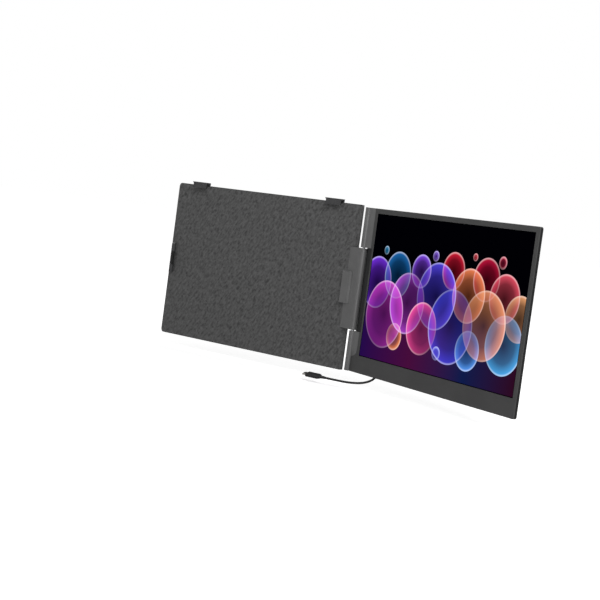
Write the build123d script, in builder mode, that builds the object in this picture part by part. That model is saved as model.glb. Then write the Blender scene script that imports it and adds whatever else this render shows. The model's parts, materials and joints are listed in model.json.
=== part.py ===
# Laptop screen extender: a clip-on bracket plate with one swing-out 15.6 inch screen.
#
# Frame, in millimetres: the origin is the centre of the face that lies on the back of the
# laptop's lid. +X points to the hinge side, -Y out of that face to the user, +Z up the lid.
# The screen is drawn in the pose that it has in use, swung out past square.
import os
from math import asin, atan, atan2, cos, degrees, hypot, pi, radians, sin, tan

from build123d import *

os.makedirs("parts", exist_ok=True)

# ---------------------------------------------------------------- the laptop's lid
lid_thickness = 5.0
lid_side_gap = 13.9  # from the lid's hinge-side edge to the plate's edge
lid_far_gap = 9.5  # the same at the other side
lid_top_gap = 0.6  # the lid's top edge lies this far below the plate's
lid_play = 0.2  # between the lid and what holds it

# ---------------------------------------------------------------- bracket plate
plate_width = 361.8
plate_height = 229.2
plate_corner = 5.0
edge_bevel_start = 1.8  # the hinge-side edge slopes in from here to the back
edge_bevel_width = 4.0
lining_thickness = 0.8
lining_rim = 0.7
tray_thickness = 4.4
cover_thickness = 1.2
cover_chamfer = 0.5
cover_screw_inset = 9.0
cover_screw_pitch = 101.4
slide_play = 0.2  # between a sliding tongue and its channel
seat_play = 0.3  # between pieces that pass each other

# ---------------------------------------------------------------- clips
pad_thickness = 0.5
tab_thickness = 1.2
tab_round = 0.4
closed_gap = 0.7  # between the clips and the folded screen
side_clip_height = 43.8
side_clip_grip = 4.0  # how far the left tab reaches over the lid
side_clip_wall = 2.0
side_clip_rim = 1.0  # width of its outer edge, in front of the plate
sleeve_height = 20.0
sleeve_thickness = 0.5
right_clip_grip = 2.0
right_clip_flat = 13.4
right_clip_foot = 2.6
right_pad_inset = 3.0
top_clip_width = 32.0
top_clip_spacing = 262.0  # between the middles of the two clips
top_clip_slab = 2.5
top_clip_grip = 4.2
top_clip_lip_width = 26.5
top_clip_round = 1.6
top_clip_taper = 30.0  # degrees, of the slab's sides towards its underside
top_pad_thickness = 2.2
tongue_thickness = 2.3
side_tongue_width = 34.0
side_tongue_length = 56.0
top_tongue_width = 20.0
top_tongue_length = 54.0
spring_diameter = 2.0
spring_bore = 0.9
spring_length = 28.0
spring_turns = 6
spring_groove = 0.3
spring_post = 2.0
spring_depth = 16.0  # from the plate's edge to the post
spring_spacing = 16.0

# ---------------------------------------------------------------- kickstand
stand_width = 84.0
stand_height = 96.0
stand_thickness = 2.0
stand_corner = 4.5
stand_margin = 12.6  # from the plate's lower edge to the folded stand
stand_pin_radius = 0.6
stand_pin_length = 12.0
stand_play = 0.5
stand_foot_height = 5.0
stand_window_width = 44.0
stand_window_height = 46.0
stand_window_corner = 8.0
pivot_play = 0.05
thumb_radius = 11.0

# ---------------------------------------------------------------- hinge
barrel_radius = 4.5
hinge_reach = 16.0  # from the plate's edge to the hinge axis
knuckle_height = 112.0
knuckle_gap = 1.2
arm_gap = 0.4  # from the lid's edge to the arm
arm_thickness = 8.6
arm_screw_inset = 7.5
arm_screw_heights = (-42.0, -15.0, 15.0, 42.0)
arm_screw_length = 4.0
arm_screw_sink = 2.0
shaft_radius = 2.3
shaft_seat = 18.0
journal_radius = 1.9
journal_length = 40.0
shaft_play = 0.05
bore_radius = 3.0
bore_cap = 2.0
curl_radius = 2.9
curl_start = 2.0  # from the knuckle's end to the curl
curl_height = 30.0
leaf_thickness = 0.8
leaf_reach = 17.0
leaf_play = 0.1
leaf_screw_column = 11.0
leaf_screw_inset = 5.0
washer_radius = 2.7
washer_count = 6
washer_thickness = 0.8
washer_gap = 0.05
nut_radius = 2.6
nut_height = 2.4
ramp_reach = 20.8  # from the hinge axis to the bezel
rest_opening = 160.1  # degrees between the plate and the screen; 0 is folded shut
full_opening = 182.0

# ---------------------------------------------------------------- screen
display_width = 344.2
display_height = 193.6
bezel_top = 6.7
bezel_bottom = 23.5
bezel_side = 6.7
hinge_border = 24.3  # from the hinge axis to the display
screen_corner = 3.0
bezel_thickness = 1.1
bezel_round = 0.4
glass_recess = 0.3
glass_play = 0.15
panel_margin = 3.0
panel_thickness = 2.2
panel_play = 0.4
side_wall_height = 3.5
back_chamfer_depth = 0.8
back_chamfer_width = 4.0
shell_floor = 1.0
shell_lip = -1.8  # where the shell starts behind the hinge axis
cover_play = 0.05
pocket_play = 0.4
hump_width = 262.0
hump_height = 112.0
hump_corner = 8.0
hump_start = 44.0
hump_bottom = -64.0
hump_depth = 5.6
hump_slope = 2.0
hump_wall = 1.2
hump_edge_round = 0.8

# ---------------------------------------------------------------- board, ports and keys
board_thickness = 1.2
board_height = 50.0
board_side_gap = 2.8
board_gap = 0.4
boss_radius = 2.6
boss_inset = 6.0
boss_screw_length = 2.6
port_inset = 24.5  # from the raised housing's edge to the first port
port_pitch = 19.0
port_width = 9.4
port_height = 3.2
port_depth = 7.4
port_wall = 0.35
port_corner = 1.44
port_recess = 0.2
hdmi_width = 11.4
port_tongue_width = 6.7
hdmi_tongue_width = 8.2
port_tongue_thickness = 0.7
port_tongue_setback = 1.2  # of the tongue's end behind the socket's mouth
speaker_length = 34.0
speaker_width = 12.0
speaker_corner = 3.0
speaker_rim = 2.0
speaker_dish = 0.8
speaker_inset = 14.0
speaker_level = 22.0
grille_slots = 6
grille_pitch = 4.4
grille_slot_width = 1.4
grille_slot_length = 8.0
key_length = 9.0
key_width = 2.4
key_corner = 0.8
key_proud = 0.7
key_travel = 0.5
key_play = 0.15
key_flange = 1.2
key_flange_thickness = 0.6
key_stem = 0.9
key_inset = 30.0  # from the raised housing's far edge to the menu key
key_pitch = 20.0
switch_length = 6.0
switch_depth = 4.0
switch_play = 0.2

# ---------------------------------------------------------------- screws
screw_head_radius = 1.7
screw_head_height = 0.9
screw_shank_radius = 0.9
screw_socket_radius = 0.8
screw_socket_depth = 0.5
cover_screw_length = 3.2
leaf_screw_length = 2.4
shell_screw_length = 3.9
shell_screw_inset = 8.0
chin_screw_spacing = 104.0

# ---------------------------------------------------------------- lead
plug_width = 11.0
plug_thickness = 5.2
plug_length = 17.0
plug_round = 2.2
plug_gap = 0.3  # from the housing to the plug's grip
plug_tip_width = 8.3
plug_tip_thickness = 2.3
plug_tip_length = 6.2
plug_tip_corner = 1.03
plug_slot_play = 0.2  # between the slot of a plug and the tongue of its socket
plug_slot_end = 1.0
relief_length = 9.0
relief_base = 4.6
relief_end = 3.6
laptop_plug_length = 23.0
lead_diameter = 3.0
deck_tilt = 18.9  # degrees from square between the laptop's deck and its lid
laptop_plug_end = (200.0, -56.0, -122.4)  # where the lead enters the laptop plug's relief
lead_drop = 10.7  # straight runs at the two ends
lead_run = 14.5
lead_bends = ((257.5, -20.6, -113.0), (245.0, -26.5, -121.8), (230.5, -41.5, -123.9))
bend_share = 0.45  # of the shorter run beside it that an arc takes up

# ================================================================ derived places
plate_right = plate_width / 2
plate_top = plate_height / 2
tray_back = lining_thickness + tray_thickness
plate_thickness = tray_back + cover_thickness
lid_right = plate_right - lid_side_gap
lid_left = lid_far_gap - plate_right
lid_top = plate_top - lid_top_gap
top_clip_columns = [side * top_clip_spacing / 2 for side in (-1, 1)]
top_clip_middle = top_clip_columns[-1]
pad_face = lid_thickness + lid_play  # distances in front of the plate's face
tab_back = pad_face + pad_thickness
tab_front = tab_back + tab_thickness

axis_x = plate_right + hinge_reach
axis_y = -(tab_front + closed_gap)
arm_left = lid_right + arm_gap
knuckle_end = knuckle_height / 2
barrel_start = knuckle_end + knuckle_gap

screen_width = hinge_border + display_width + bezel_side  # from the hinge axis
screen_height = bezel_bottom + display_height + bezel_top
screen_top = screen_height / 2
display_z = (bezel_bottom - bezel_top) / 2
display_middle = hinge_border + display_width / 2
side_wall_back = bezel_thickness + side_wall_height
screen_back = side_wall_back + back_chamfer_depth
hump_back = screen_back + hump_depth

# The screen's own plane: x along the screen from the hinge axis, y up, z out of its face.
swing = radians(180 - rest_opening)
along = Vector(cos(swing), -sin(swing), 0)
outward = Vector(-sin(swing), -cos(swing), 0)
screen = Plane(origin=(axis_x, axis_y, 0), x_dir=along, z_dir=outward)
# The screen seen from behind; x runs the other way.
screen_rear = Plane(
    origin=screen.origin - outward * screen_back, x_dir=along * -1, z_dir=outward * -1
)
# The hinge's cross section: x along the screen, y towards its back, z up.
section = Plane(origin=(axis_x, axis_y, 0), x_dir=along, z_dir=(0, 0, 1))
# The plate seen from behind; x runs the other way.
behind = Plane(origin=(0, plate_thickness, 0), x_dir=(-1, 0, 0), z_dir=(0, 1, 0))
behind_tray = behind.offset(-cover_thickness)

# The arm's front face is tangent to the barrel and runs down to the plate's face.
arm_run = axis_x - arm_left
axis_distance = hypot(arm_run, axis_y)
arm_slope = asin(barrel_radius / axis_distance) + atan2(-axis_y, arm_run)

channel_front = tray_back - tongue_thickness - 2 * slide_play
tongue_front = tray_back - tongue_thickness - slide_play
tongue_middle = tongue_front + tongue_thickness / 2


def front(distance):
    """Plane parallel to the plate's face, so far behind it."""
    return Plane.XZ.offset(-distance)


def screws(plane, points, length):
    """A group of cap screws whose heads end in the plane."""
    with BuildPart() as group:
        with BuildSketch(plane):
            with Locations(*points):
                Circle(screw_head_radius)
        extrude(amount=-screw_head_height)
        with BuildSketch(plane.offset(-screw_head_height)):
            with Locations(*points):
                Circle(screw_shank_radius)
        extrude(amount=-length)
        with BuildSketch(plane):
            with Locations(*points):
                RegularPolygon(screw_socket_radius, 6)
        extrude(amount=-screw_socket_depth, mode=Mode.SUBTRACT)
    return group


def screw_holes(plane, points, length):
    """Cuts the seats of such screws out of the part that is being built."""
    with BuildSketch(plane) as heads:
        with Locations(*points):
            Circle(screw_head_radius)
    extrude(heads.sketch, amount=-screw_head_height, mode=Mode.SUBTRACT)
    with BuildSketch(plane.offset(-screw_head_height)) as shanks:
        with Locations(*points):
            Circle(screw_shank_radius)
    extrude(shanks.sketch, amount=-length, mode=Mode.SUBTRACT)


def lower_twin(piece):
    """The same piece below the middle of the hinge."""
    with BuildPart() as twin:
        mirror(piece.part, about=Plane.XY)
    return twin


def left_twin(piece):
    """The same piece on the other half of the plate."""
    with BuildPart() as twin:
        mirror(piece.part, about=Plane.YZ)
    return twin


# ================================================================ bracket plate
left_post_right = lid_left - lid_play
notch_right = left_post_right + seat_play
notch_width = plate_right + notch_right
notch_height = side_clip_height + 2 * seat_play
arm_window_left = arm_left - seat_play
arm_window_width = plate_right - arm_window_left
arm_window_height = knuckle_height + 2 * seat_play

cover_screw_x = plate_right - cover_screw_inset
cover_screw_z = plate_top - cover_screw_inset
cover_screw_points = [
    (side * column, level * cover_screw_z)
    for side in (-1, 1)
    for column in (cover_screw_x, cover_screw_x - cover_screw_pitch)
    for level in (-1, 1)
]
arm_screw_points = [(-arm_left - arm_screw_inset, level) for level in arm_screw_heights]
arm_screw_plane = behind_tray.offset(-arm_screw_sink)

stand_bottom = stand_margin - plate_top
stand_pivot_z = stand_bottom + stand_height
stand_radius = stand_thickness / 2
stand_y = plate_thickness - stand_radius
stand_side = stand_width / 2
bed_top = stand_pivot_z + stand_radius + stand_play
bed_bottom = stand_bottom - stand_play
bed_middle = (bed_top + bed_bottom) / 2
bed_width = stand_width + 2 * stand_play
bed_height = bed_top - bed_bottom
bed_depth = stand_thickness - cover_thickness + seat_play
pin_reach = stand_pin_length / 2

side_spring_post = notch_right + spring_depth  # nearer end of the post
side_spring_start = side_spring_post + spring_post
side_spring_end = side_spring_start + spring_length
side_tongue_end = notch_right + side_tongue_length
top_spring_post = plate_top - spring_depth
top_spring_start = top_spring_post - spring_post
top_spring_end = top_spring_start - spring_length
top_tongue_end = plate_top - top_tongue_length
spring_window_width = spring_diameter + 2 * seat_play
side_spring_levels = (-spring_spacing / 2, spring_spacing / 2)


def plate_outline():
    """Draws the plate's outline with the notch for the left clip."""
    RectangleRounded(plate_width, plate_height, plate_corner)
    with Locations((notch_width / 2 - plate_right, 0)):
        Rectangle(notch_width, notch_height, mode=Mode.SUBTRACT)


def stand_bed():
    """Draws the folded kickstand's opening and the thumb scoop below it, seen from behind."""
    with Locations((0, bed_middle)):
        Rectangle(bed_width, bed_height)
    with Locations((0, bed_bottom)):
        Circle(thumb_radius)


def edge_bevel():
    """Slopes the hinge-side edge of the part that is being built."""
    with BuildSketch(Plane.XY.offset(-plate_top)) as wedge:
        with BuildLine():
            Polyline(
                (plate_right, edge_bevel_start),
                (plate_right, plate_thickness),
                (plate_right - edge_bevel_width, plate_thickness),
                close=True,
            )
        make_face()
    extrude(wedge.sketch, amount=plate_height, mode=Mode.SUBTRACT)


def pin_seats():
    """Cuts the seats of the kickstand's pins out of the part that is being built."""
    for side in (-1, 1):
        with BuildSketch(Plane.YZ.offset(side * stand_side)) as seat:
            with Locations((stand_y, stand_pivot_z)):
                Circle(stand_pin_radius + pivot_play)
        extrude(seat.sketch, amount=side * (pin_reach + seat_play), mode=Mode.SUBTRACT)


with BuildPart() as front_lining:
    with BuildSketch(front(0)):
        RectangleRounded(plate_width - 2 * lining_rim, plate_height - 2 * lining_rim, plate_corner)
        with Locations((notch_width / 2 - plate_right, 0)):
            Rectangle(notch_width, notch_height, mode=Mode.SUBTRACT)
        with Locations((arm_window_left + arm_window_width / 2, 0)):
            Rectangle(arm_window_width, arm_window_height, mode=Mode.SUBTRACT)
    extrude(amount=-lining_thickness)

with BuildPart() as back_plate:
    with BuildSketch(front(lining_thickness)):
        plate_outline()
    extrude(amount=-tray_thickness)
    edge_bevel()
    # channels for the clips' tongues, open to the plate's edges
    with BuildSketch(behind_tray):
        with Locations((-notch_right - side_tongue_length / 2, 0)):
            Rectangle(side_tongue_length, side_tongue_width + 2 * slide_play)
        for column in top_clip_columns:
            with Locations((-column, plate_top - top_tongue_length / 2)):
                Rectangle(top_tongue_width + 2 * slide_play, top_tongue_length)
    extrude(amount=channel_front - tray_back, mode=Mode.SUBTRACT)
    # posts that the clip springs push against
    with BuildSketch(front(channel_front)):
        for level in side_spring_levels:
            with Locations((side_spring_post + spring_post / 2, level)):
                Rectangle(spring_post, spring_diameter)
        for column in top_clip_columns:
            with Locations((column, top_spring_post - spring_post / 2)):
                Rectangle(spring_diameter, spring_post)
    extrude(amount=channel_front - tray_back)
    # bed for the folded kickstand
    with BuildSketch(behind_tray):
        stand_bed()
    extrude(amount=-bed_depth, mode=Mode.SUBTRACT)
    pin_seats()
    with BuildSketch(behind_tray):
        with Locations(*arm_screw_points):
            Circle(screw_head_radius)
    extrude(amount=-arm_screw_sink, mode=Mode.SUBTRACT)
    screw_holes(arm_screw_plane, arm_screw_points, arm_screw_length)
    screw_holes(behind, cover_screw_points, cover_screw_length)

with BuildPart() as rear_cover:
    with BuildSketch(front(tray_back)):
        plate_outline()
    extrude(amount=-cover_thickness)
    chamfer(rear_cover.faces().sort_by(Axis.Y)[-1].edges(), cover_chamfer)
    edge_bevel()
    with BuildSketch(behind):
        stand_bed()
    extrude(amount=-cover_thickness, mode=Mode.SUBTRACT)
    pin_seats()
    screw_holes(behind, cover_screw_points, cover_screw_length)

cover_screws = screws(behind, cover_screw_points, cover_screw_length)

# ================================================================ hinge arm
arm_back_x = axis_x + barrel_radius * sin(arm_slope)
arm_back_y = axis_y + barrel_radius * cos(arm_slope)
arm_heel_y = arm_thickness / cos(arm_slope) - (plate_right - arm_left) * tan(arm_slope)
with BuildPart() as hinge_arm:
    with BuildSketch(Plane.XY.offset(-knuckle_end)):
        with BuildLine():
            Polyline(
                (arm_left, lining_thickness),
                (arm_left, 0),
                (axis_x - barrel_radius * sin(arm_slope), axis_y - barrel_radius * cos(arm_slope)),
                (axis_x, axis_y),
                (arm_back_x, arm_back_y),
                (plate_right, arm_heel_y),
                (plate_right, lining_thickness),
                close=True,
            )
        make_face()
        with Locations((axis_x, axis_y)):
            Circle(barrel_radius)
    extrude(amount=knuckle_height)
    for end in (-1, 1):
        with BuildSketch(Plane.XY.offset(end * knuckle_end)):
            with Locations((axis_x, axis_y)):
                Circle(shaft_radius)
        extrude(amount=-end * shaft_seat, mode=Mode.SUBTRACT)
    screw_holes(arm_screw_plane, arm_screw_points, arm_screw_length)

arm_screws = screws(arm_screw_plane, arm_screw_points, arm_screw_length)

# ================================================================ clips
right_tab_left = lid_right - right_clip_grip
right_tab_right = right_tab_left + right_clip_flat
right_foot = right_tab_right + right_clip_foot
with BuildPart() as right_clip:
    with BuildSketch(Plane.XY.offset(-side_clip_height / 2)):
        with BuildLine():
            Polyline(
                (right_tab_left, -tab_back),
                (right_tab_left, -tab_front),
                (right_tab_right, -tab_front),
                (right_foot, (arm_left - right_foot) * tan(arm_slope)),
                (arm_left, 0),
                (lid_right + lid_play, 0),
                (lid_right + lid_play, -tab_back),
                close=True,
            )
        make_face()
    extrude(amount=side_clip_height)
    fillet(right_clip.edges().filter_by(Axis.Z).group_by(Axis.Y)[0], tab_round)

with BuildPart() as right_clip_pad:
    with BuildSketch(front(-tab_back)):
        with Locations((lid_right - right_clip_grip / 2, 0)):
            Rectangle(right_clip_grip, side_clip_height - 2 * right_pad_inset)
    extrude(amount=-pad_thickness)

left_tab_tip = lid_left + side_clip_grip
left_post_left = left_post_right - side_clip_wall
left_slope_y = lining_rim - side_clip_rim
with BuildPart() as left_clip:
    with BuildSketch(Plane.XY.offset(-side_clip_height / 2)):
        with BuildLine():
            Polyline(
                (left_tab_tip, -tab_back),
                (left_tab_tip, -tab_front),
                (left_post_left, -tab_front),
                (side_clip_rim - plate_right, left_slope_y),
                (-plate_right, left_slope_y + side_clip_rim),
                (-plate_right, plate_thickness),
                (left_post_right, plate_thickness),
                (left_post_right, -tab_back),
                close=True,
            )
        make_face()
    extrude(amount=side_clip_height)
    fillet(left_clip.edges().filter_by(Axis.Z).group_by(Axis.Y)[0], tab_round)
    # seat of the rubber sleeve
    with BuildSketch(Plane.XY.offset(-sleeve_height / 2)):
        with Locations(((left_tab_tip + left_post_right) / 2, -tab_front + sleeve_thickness / 2)):
            Rectangle(left_tab_tip - left_post_right, sleeve_thickness)
        with Locations((left_tab_tip - sleeve_thickness / 2, -(tab_front + tab_back) / 2)):
            Rectangle(sleeve_thickness, tab_thickness)
    extrude(amount=sleeve_height, mode=Mode.SUBTRACT)
    # tongue, with a window for each spring
    with BuildSketch(front(tongue_front)):
        with Locations(((left_post_right + side_tongue_end - seat_play) / 2, 0)):
            Rectangle(side_tongue_end - seat_play - left_post_right, side_tongue_width)
        for level in side_spring_levels:
            with Locations(((side_spring_post - seat_play + side_spring_end) / 2, level)):
                Rectangle(
                    side_spring_end - side_spring_post + seat_play,
                    spring_window_width,
                    mode=Mode.SUBTRACT,
                )
    extrude(amount=-tongue_thickness)

with BuildPart() as left_clip_pad:
    with BuildSketch(Plane.XY.offset(-sleeve_height / 2)):
        with BuildLine():
            Polyline(
                (left_post_right, -pad_face),
                (left_tab_tip, -pad_face),
                (left_tab_tip, -tab_front),
                (left_post_right, -tab_front),
                (left_post_right, -tab_front + sleeve_thickness),
                (left_tab_tip - sleeve_thickness, -tab_front + sleeve_thickness),
                (left_tab_tip - sleeve_thickness, -tab_back),
                (left_post_right, -tab_back),
                close=True,
            )
        make_face()
    extrude(amount=sleeve_height)

slab_bottom = lid_top + lid_play + top_pad_thickness
slab_top = slab_bottom + top_clip_slab
lip_bottom = lid_top - top_clip_grip
riser_bottom = plate_top + seat_play
slab_side = top_clip_middle + top_clip_width / 2
slab_rear_side = top_clip_middle + top_tongue_width / 2
with BuildPart() as top_right_clip:
    # slab across the lid's top edge, as narrow as the tongue at its rear
    with BuildSketch(Plane.XY.offset(slab_top)) as slab:
        with BuildLine():
            Polyline(
                (top_clip_middle, -tab_front),
                (slab_side, -tab_front),
                (slab_side, 0),
                (slab_rear_side, plate_thickness),
                (top_clip_middle, plate_thickness),
            )
            mirror(about=Plane.YZ.offset(top_clip_middle))
        make_face()
        fillet(slab.vertices(), top_clip_round)
    extrude(amount=-top_clip_slab, taper=top_clip_taper)
    with BuildSketch(front(-tab_front)):
        with Locations((top_clip_middle, (lip_bottom + slab_top) / 2)):
            Rectangle(top_clip_lip_width, slab_top - lip_bottom)
    extrude(amount=-tab_thickness)
    with BuildSketch(front(0)):
        with Locations((top_clip_middle, (riser_bottom + slab_top) / 2)):
            Rectangle(top_tongue_width, slab_top - riser_bottom)
    extrude(amount=-plate_thickness)
    with BuildSketch(front(tongue_front)):
        with Locations((top_clip_middle, (top_tongue_end + seat_play + riser_bottom) / 2)):
            Rectangle(top_tongue_width, riser_bottom - top_tongue_end - seat_play)
        with Locations((top_clip_middle, (top_spring_post + seat_play + top_spring_end) / 2)):
            Rectangle(
                spring_window_width,
                top_spring_post + seat_play - top_spring_end,
                mode=Mode.SUBTRACT,
            )
    extrude(amount=-tongue_thickness)

with BuildPart() as top_right_clip_pad:
    with BuildSketch(Plane.YZ.offset(top_clip_middle - top_clip_lip_width / 2)):
        with BuildLine():
            Polyline(
                (0, slab_bottom),
                (-tab_back, slab_bottom),
                (-tab_back, lip_bottom),
                (-pad_face, lip_bottom),
                (-pad_face, lid_top + lid_play),
                (0, lid_top + lid_play),
                close=True,
            )
        make_face()
    extrude(amount=top_clip_lip_width)

top_left_clip = left_twin(top_right_clip)
top_left_clip_pad = left_twin(top_right_clip_pad)


def clip_springs(starts, direction):
    """Compression springs that run from their posts in the given direction."""
    pitch = spring_length / spring_turns
    wire = pitch / 2
    with BuildPart() as group:
        for start in starts:
            base = Plane(origin=start, z_dir=direction)
            with BuildSketch(base):
                Circle(spring_diameter / 2 - spring_groove)
            extrude(amount=spring_length)
            for turn in range(spring_turns):
                with BuildSketch(base.offset(turn * pitch + (pitch - wire) / 2)):
                    Circle(spring_diameter / 2)
                extrude(amount=wire)
            with BuildSketch(base):
                Circle(spring_bore / 2)
            extrude(amount=spring_length, mode=Mode.SUBTRACT)
    return group


left_clip_springs = clip_springs(
    [(side_spring_start, tongue_middle, level) for level in side_spring_levels], (1, 0, 0)
)
top_right_clip_spring = clip_springs(
    [(top_clip_middle, tongue_middle, top_spring_start)], (0, 0, -1)
)
top_left_clip_spring = left_twin(top_right_clip_spring)

# ================================================================ kickstand
foot_top = stand_bottom + stand_foot_height
with BuildPart() as kickstand:
    with BuildSketch(front(stand_y - stand_radius)):
        with Locations((0, (stand_pivot_z + foot_top) / 2)):
            Rectangle(stand_width, stand_pivot_z - foot_top)
        with Locations((0, (stand_pivot_z + stand_bottom) / 2)):
            RectangleRounded(
                stand_window_width, stand_window_height, stand_window_corner, mode=Mode.SUBTRACT
            )
    extrude(amount=-stand_thickness)
    with BuildSketch(Plane.YZ.offset(-stand_side)):
        with Locations((stand_y, stand_pivot_z)):
            Circle(stand_radius)
    extrude(amount=stand_width)
    for side in (-1, 1):
        with BuildSketch(Plane.YZ.offset(side * stand_side)):
            with Locations((stand_y, stand_pivot_z)):
                Circle(stand_pin_radius)
        extrude(amount=-side * pin_reach, mode=Mode.SUBTRACT)

with BuildPart() as kickstand_pins:
    for side in (-1, 1):
        with BuildSketch(Plane.YZ.offset(side * (stand_side - pin_reach))):
            with Locations((stand_y, stand_pivot_z)):
                Circle(stand_pin_radius)
        extrude(amount=side * stand_pin_length)

with BuildPart() as kickstand_foot:
    with BuildSketch(front(stand_y - stand_radius)):
        with Locations((0, (foot_top + stand_bottom) / 2)):
            Rectangle(stand_width, stand_foot_height)
    extrude(amount=-stand_thickness)
    fillet(
        kickstand_foot.edges().filter_by(Axis.Y).group_by(Axis.Z)[0],
        min(stand_corner, stand_foot_height - seat_play),
    )

# ================================================================ torque hinges
curl_bottom = knuckle_end + curl_start
curl_top = curl_bottom + curl_height
washer_start = curl_top + washer_gap
washer_pitch = washer_thickness + washer_gap
nut_bottom = washer_start + washer_count * washer_pitch
leaf_top = curl_radius - leaf_thickness
leaf_plane = screen.offset(-leaf_top)
leaf_screw_points = [
    (leaf_screw_column, curl_bottom + leaf_screw_inset),
    (leaf_screw_column, curl_top - leaf_screw_inset),
]
lower_leaf_screw_points = [(column, -level) for column, level in leaf_screw_points]
shell_screw_points = [
    (-leaf_screw_column, screen_top - shell_screw_inset),
    (-leaf_screw_column, shell_screw_inset - screen_top),
] + [
    (step * chin_screw_spacing - display_middle, shell_screw_inset - screen_top)
    for step in (-1, 0, 1)
]

with BuildPart() as upper_hinge_shaft:
    with BuildSketch(section.offset(knuckle_end - shaft_seat)):
        Circle(shaft_radius)
    extrude(amount=shaft_seat)
    with BuildSketch(section.offset(knuckle_end)):
        Circle(journal_radius)
    extrude(amount=journal_length)

with BuildPart() as upper_hinge_bracket:
    with BuildSketch(section.offset(curl_bottom)):
        with Locations((leaf_reach / 2, curl_radius - leaf_thickness / 2)):
            Rectangle(leaf_reach, leaf_thickness)
        Circle(curl_radius)
        Circle(journal_radius + shaft_play, mode=Mode.SUBTRACT)
    extrude(amount=curl_height)
    with BuildSketch(leaf_plane):
        with Locations(*leaf_screw_points):
            Circle(screw_shank_radius)
    extrude(amount=-leaf_thickness, mode=Mode.SUBTRACT)

with BuildPart() as upper_friction_washers:
    for step in range(washer_count):
        with BuildSketch(section.offset(washer_start + step * washer_pitch)):
            Circle(washer_radius)
            Circle(journal_radius, mode=Mode.SUBTRACT)
        extrude(amount=washer_thickness)

with BuildPart() as upper_hinge_nut:
    with BuildSketch(section.offset(nut_bottom)):
        RegularPolygon(nut_radius, 6)
        Circle(journal_radius, mode=Mode.SUBTRACT)
    extrude(amount=nut_height)

# The cover's barrel runs down in a ramp to the bezel.
ramp_tilt = asin(barrel_radius / ramp_reach)
with BuildPart() as upper_hinge_cover:
    with BuildSketch(section.offset(barrel_start)):
        with BuildLine():
            Polyline(
                (0, 0),
                (barrel_radius * sin(ramp_tilt), -barrel_radius * cos(ramp_tilt)),
                (ramp_reach, 0),
                (ramp_reach, bezel_thickness),
                (0, bezel_thickness),
                close=True,
            )
        make_face()
        Circle(barrel_radius)
    extrude(amount=screen_top - barrel_start)
    with BuildSketch(section.offset(barrel_start)):
        Circle(bore_radius)
    extrude(amount=screen_top - barrel_start - bore_cap, mode=Mode.SUBTRACT)
    # slot that the hinge leaf comes out of
    with BuildSketch(section.offset(curl_bottom - leaf_play)):
        with Locations((barrel_radius / 2 + leaf_play, curl_radius - leaf_thickness / 2)):
            Rectangle(barrel_radius + 2 * leaf_play, leaf_thickness + 2 * leaf_play)
    extrude(amount=curl_height + 2 * leaf_play, mode=Mode.SUBTRACT)
    screw_holes(screen_rear, shell_screw_points, shell_screw_length)

lower_hinge_shaft = lower_twin(upper_hinge_shaft)
lower_hinge_bracket = lower_twin(upper_hinge_bracket)
lower_friction_washers = lower_twin(upper_friction_washers)
lower_hinge_nut = lower_twin(upper_hinge_nut)
lower_hinge_cover = lower_twin(upper_hinge_cover)
hinge_screws = screws(
    leaf_plane.offset(screw_head_height), leaf_screw_points + lower_leaf_screw_points,
    leaf_screw_length,
)

# ================================================================ screen
cavity_front = bezel_thickness
cavity_back = screen_back - shell_floor
panel_width = display_width + 2 * panel_margin
panel_height = display_height + 2 * panel_margin
display_place = (display_middle, display_z)

with BuildPart() as screen_bezel:
    with BuildSketch(screen.offset(-bezel_thickness)) as bezel_outline:
        with Locations(((ramp_reach + screen_width) / 2, 0)):
            Rectangle(screen_width - ramp_reach, screen_height)
        fillet(bezel_outline.vertices().group_by(Axis.X)[-1], screen_corner)
    extrude(amount=bezel_thickness)
    fillet(screen_bezel.faces().sort_by(Axis(screen.origin, outward))[-1].edges(), bezel_round)
    with BuildSketch(screen.offset(-bezel_thickness)):
        with Locations(display_place):
            Rectangle(display_width, display_height)
    extrude(amount=bezel_thickness, mode=Mode.SUBTRACT)
    screw_holes(screen_rear, shell_screw_points, shell_screw_length)

with BuildPart() as display_glass:
    with BuildSketch(screen.offset(-bezel_thickness)):
        with Locations(display_place):
            Rectangle(display_width - 2 * glass_play, display_height - 2 * glass_play)
    extrude(amount=bezel_thickness - glass_recess)

with BuildPart() as lcd_panel:
    with BuildSketch(screen.offset(-bezel_thickness)):
        with Locations(display_place):
            Rectangle(panel_width, panel_height)
    extrude(amount=-panel_thickness)

# ---------------------------------------------------------------- rear shell
hump_middle = (hump_start + hump_width / 2, hump_bottom + hump_height / 2)
hump_floor = hump_back - hump_wall
hump_taper = degrees(atan(hump_slope / hump_depth))
hump_inset = hump_slope + hump_wall
port_level = hump_floor - port_height / 2
port_wall_z = hump_bottom + hump_slope
board_back = hump_floor - port_height
board_front = board_back - board_thickness
board_bottom = port_wall_z + hump_wall + board_gap
board_width = hump_width - 2 * hump_inset - 2 * board_side_gap
board_middle = (hump_middle[0], board_bottom + board_height / 2)
boss_points = [
    (board_middle[0] + side * (board_width / 2 - boss_inset),
     board_middle[1] + level * (board_height / 2 - boss_inset))
    for side in (-1, 1)
    for level in (-1, 1)
]
speaker_places = [
    (hump_middle[0] + side * (hump_width / 2 - hump_inset - speaker_inset - speaker_length / 2),
     speaker_level)
    for side in (-1, 1)
]
pocket_radius = barrel_radius + pocket_play
pocket_foot = pocket_radius / sin(arm_slope)
# The arm's back as it lies beside the shell's edge when the screen is fully open.
open_slope = arm_slope + radians(full_opening - 180)
open_reach = barrel_radius + seat_play
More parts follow.
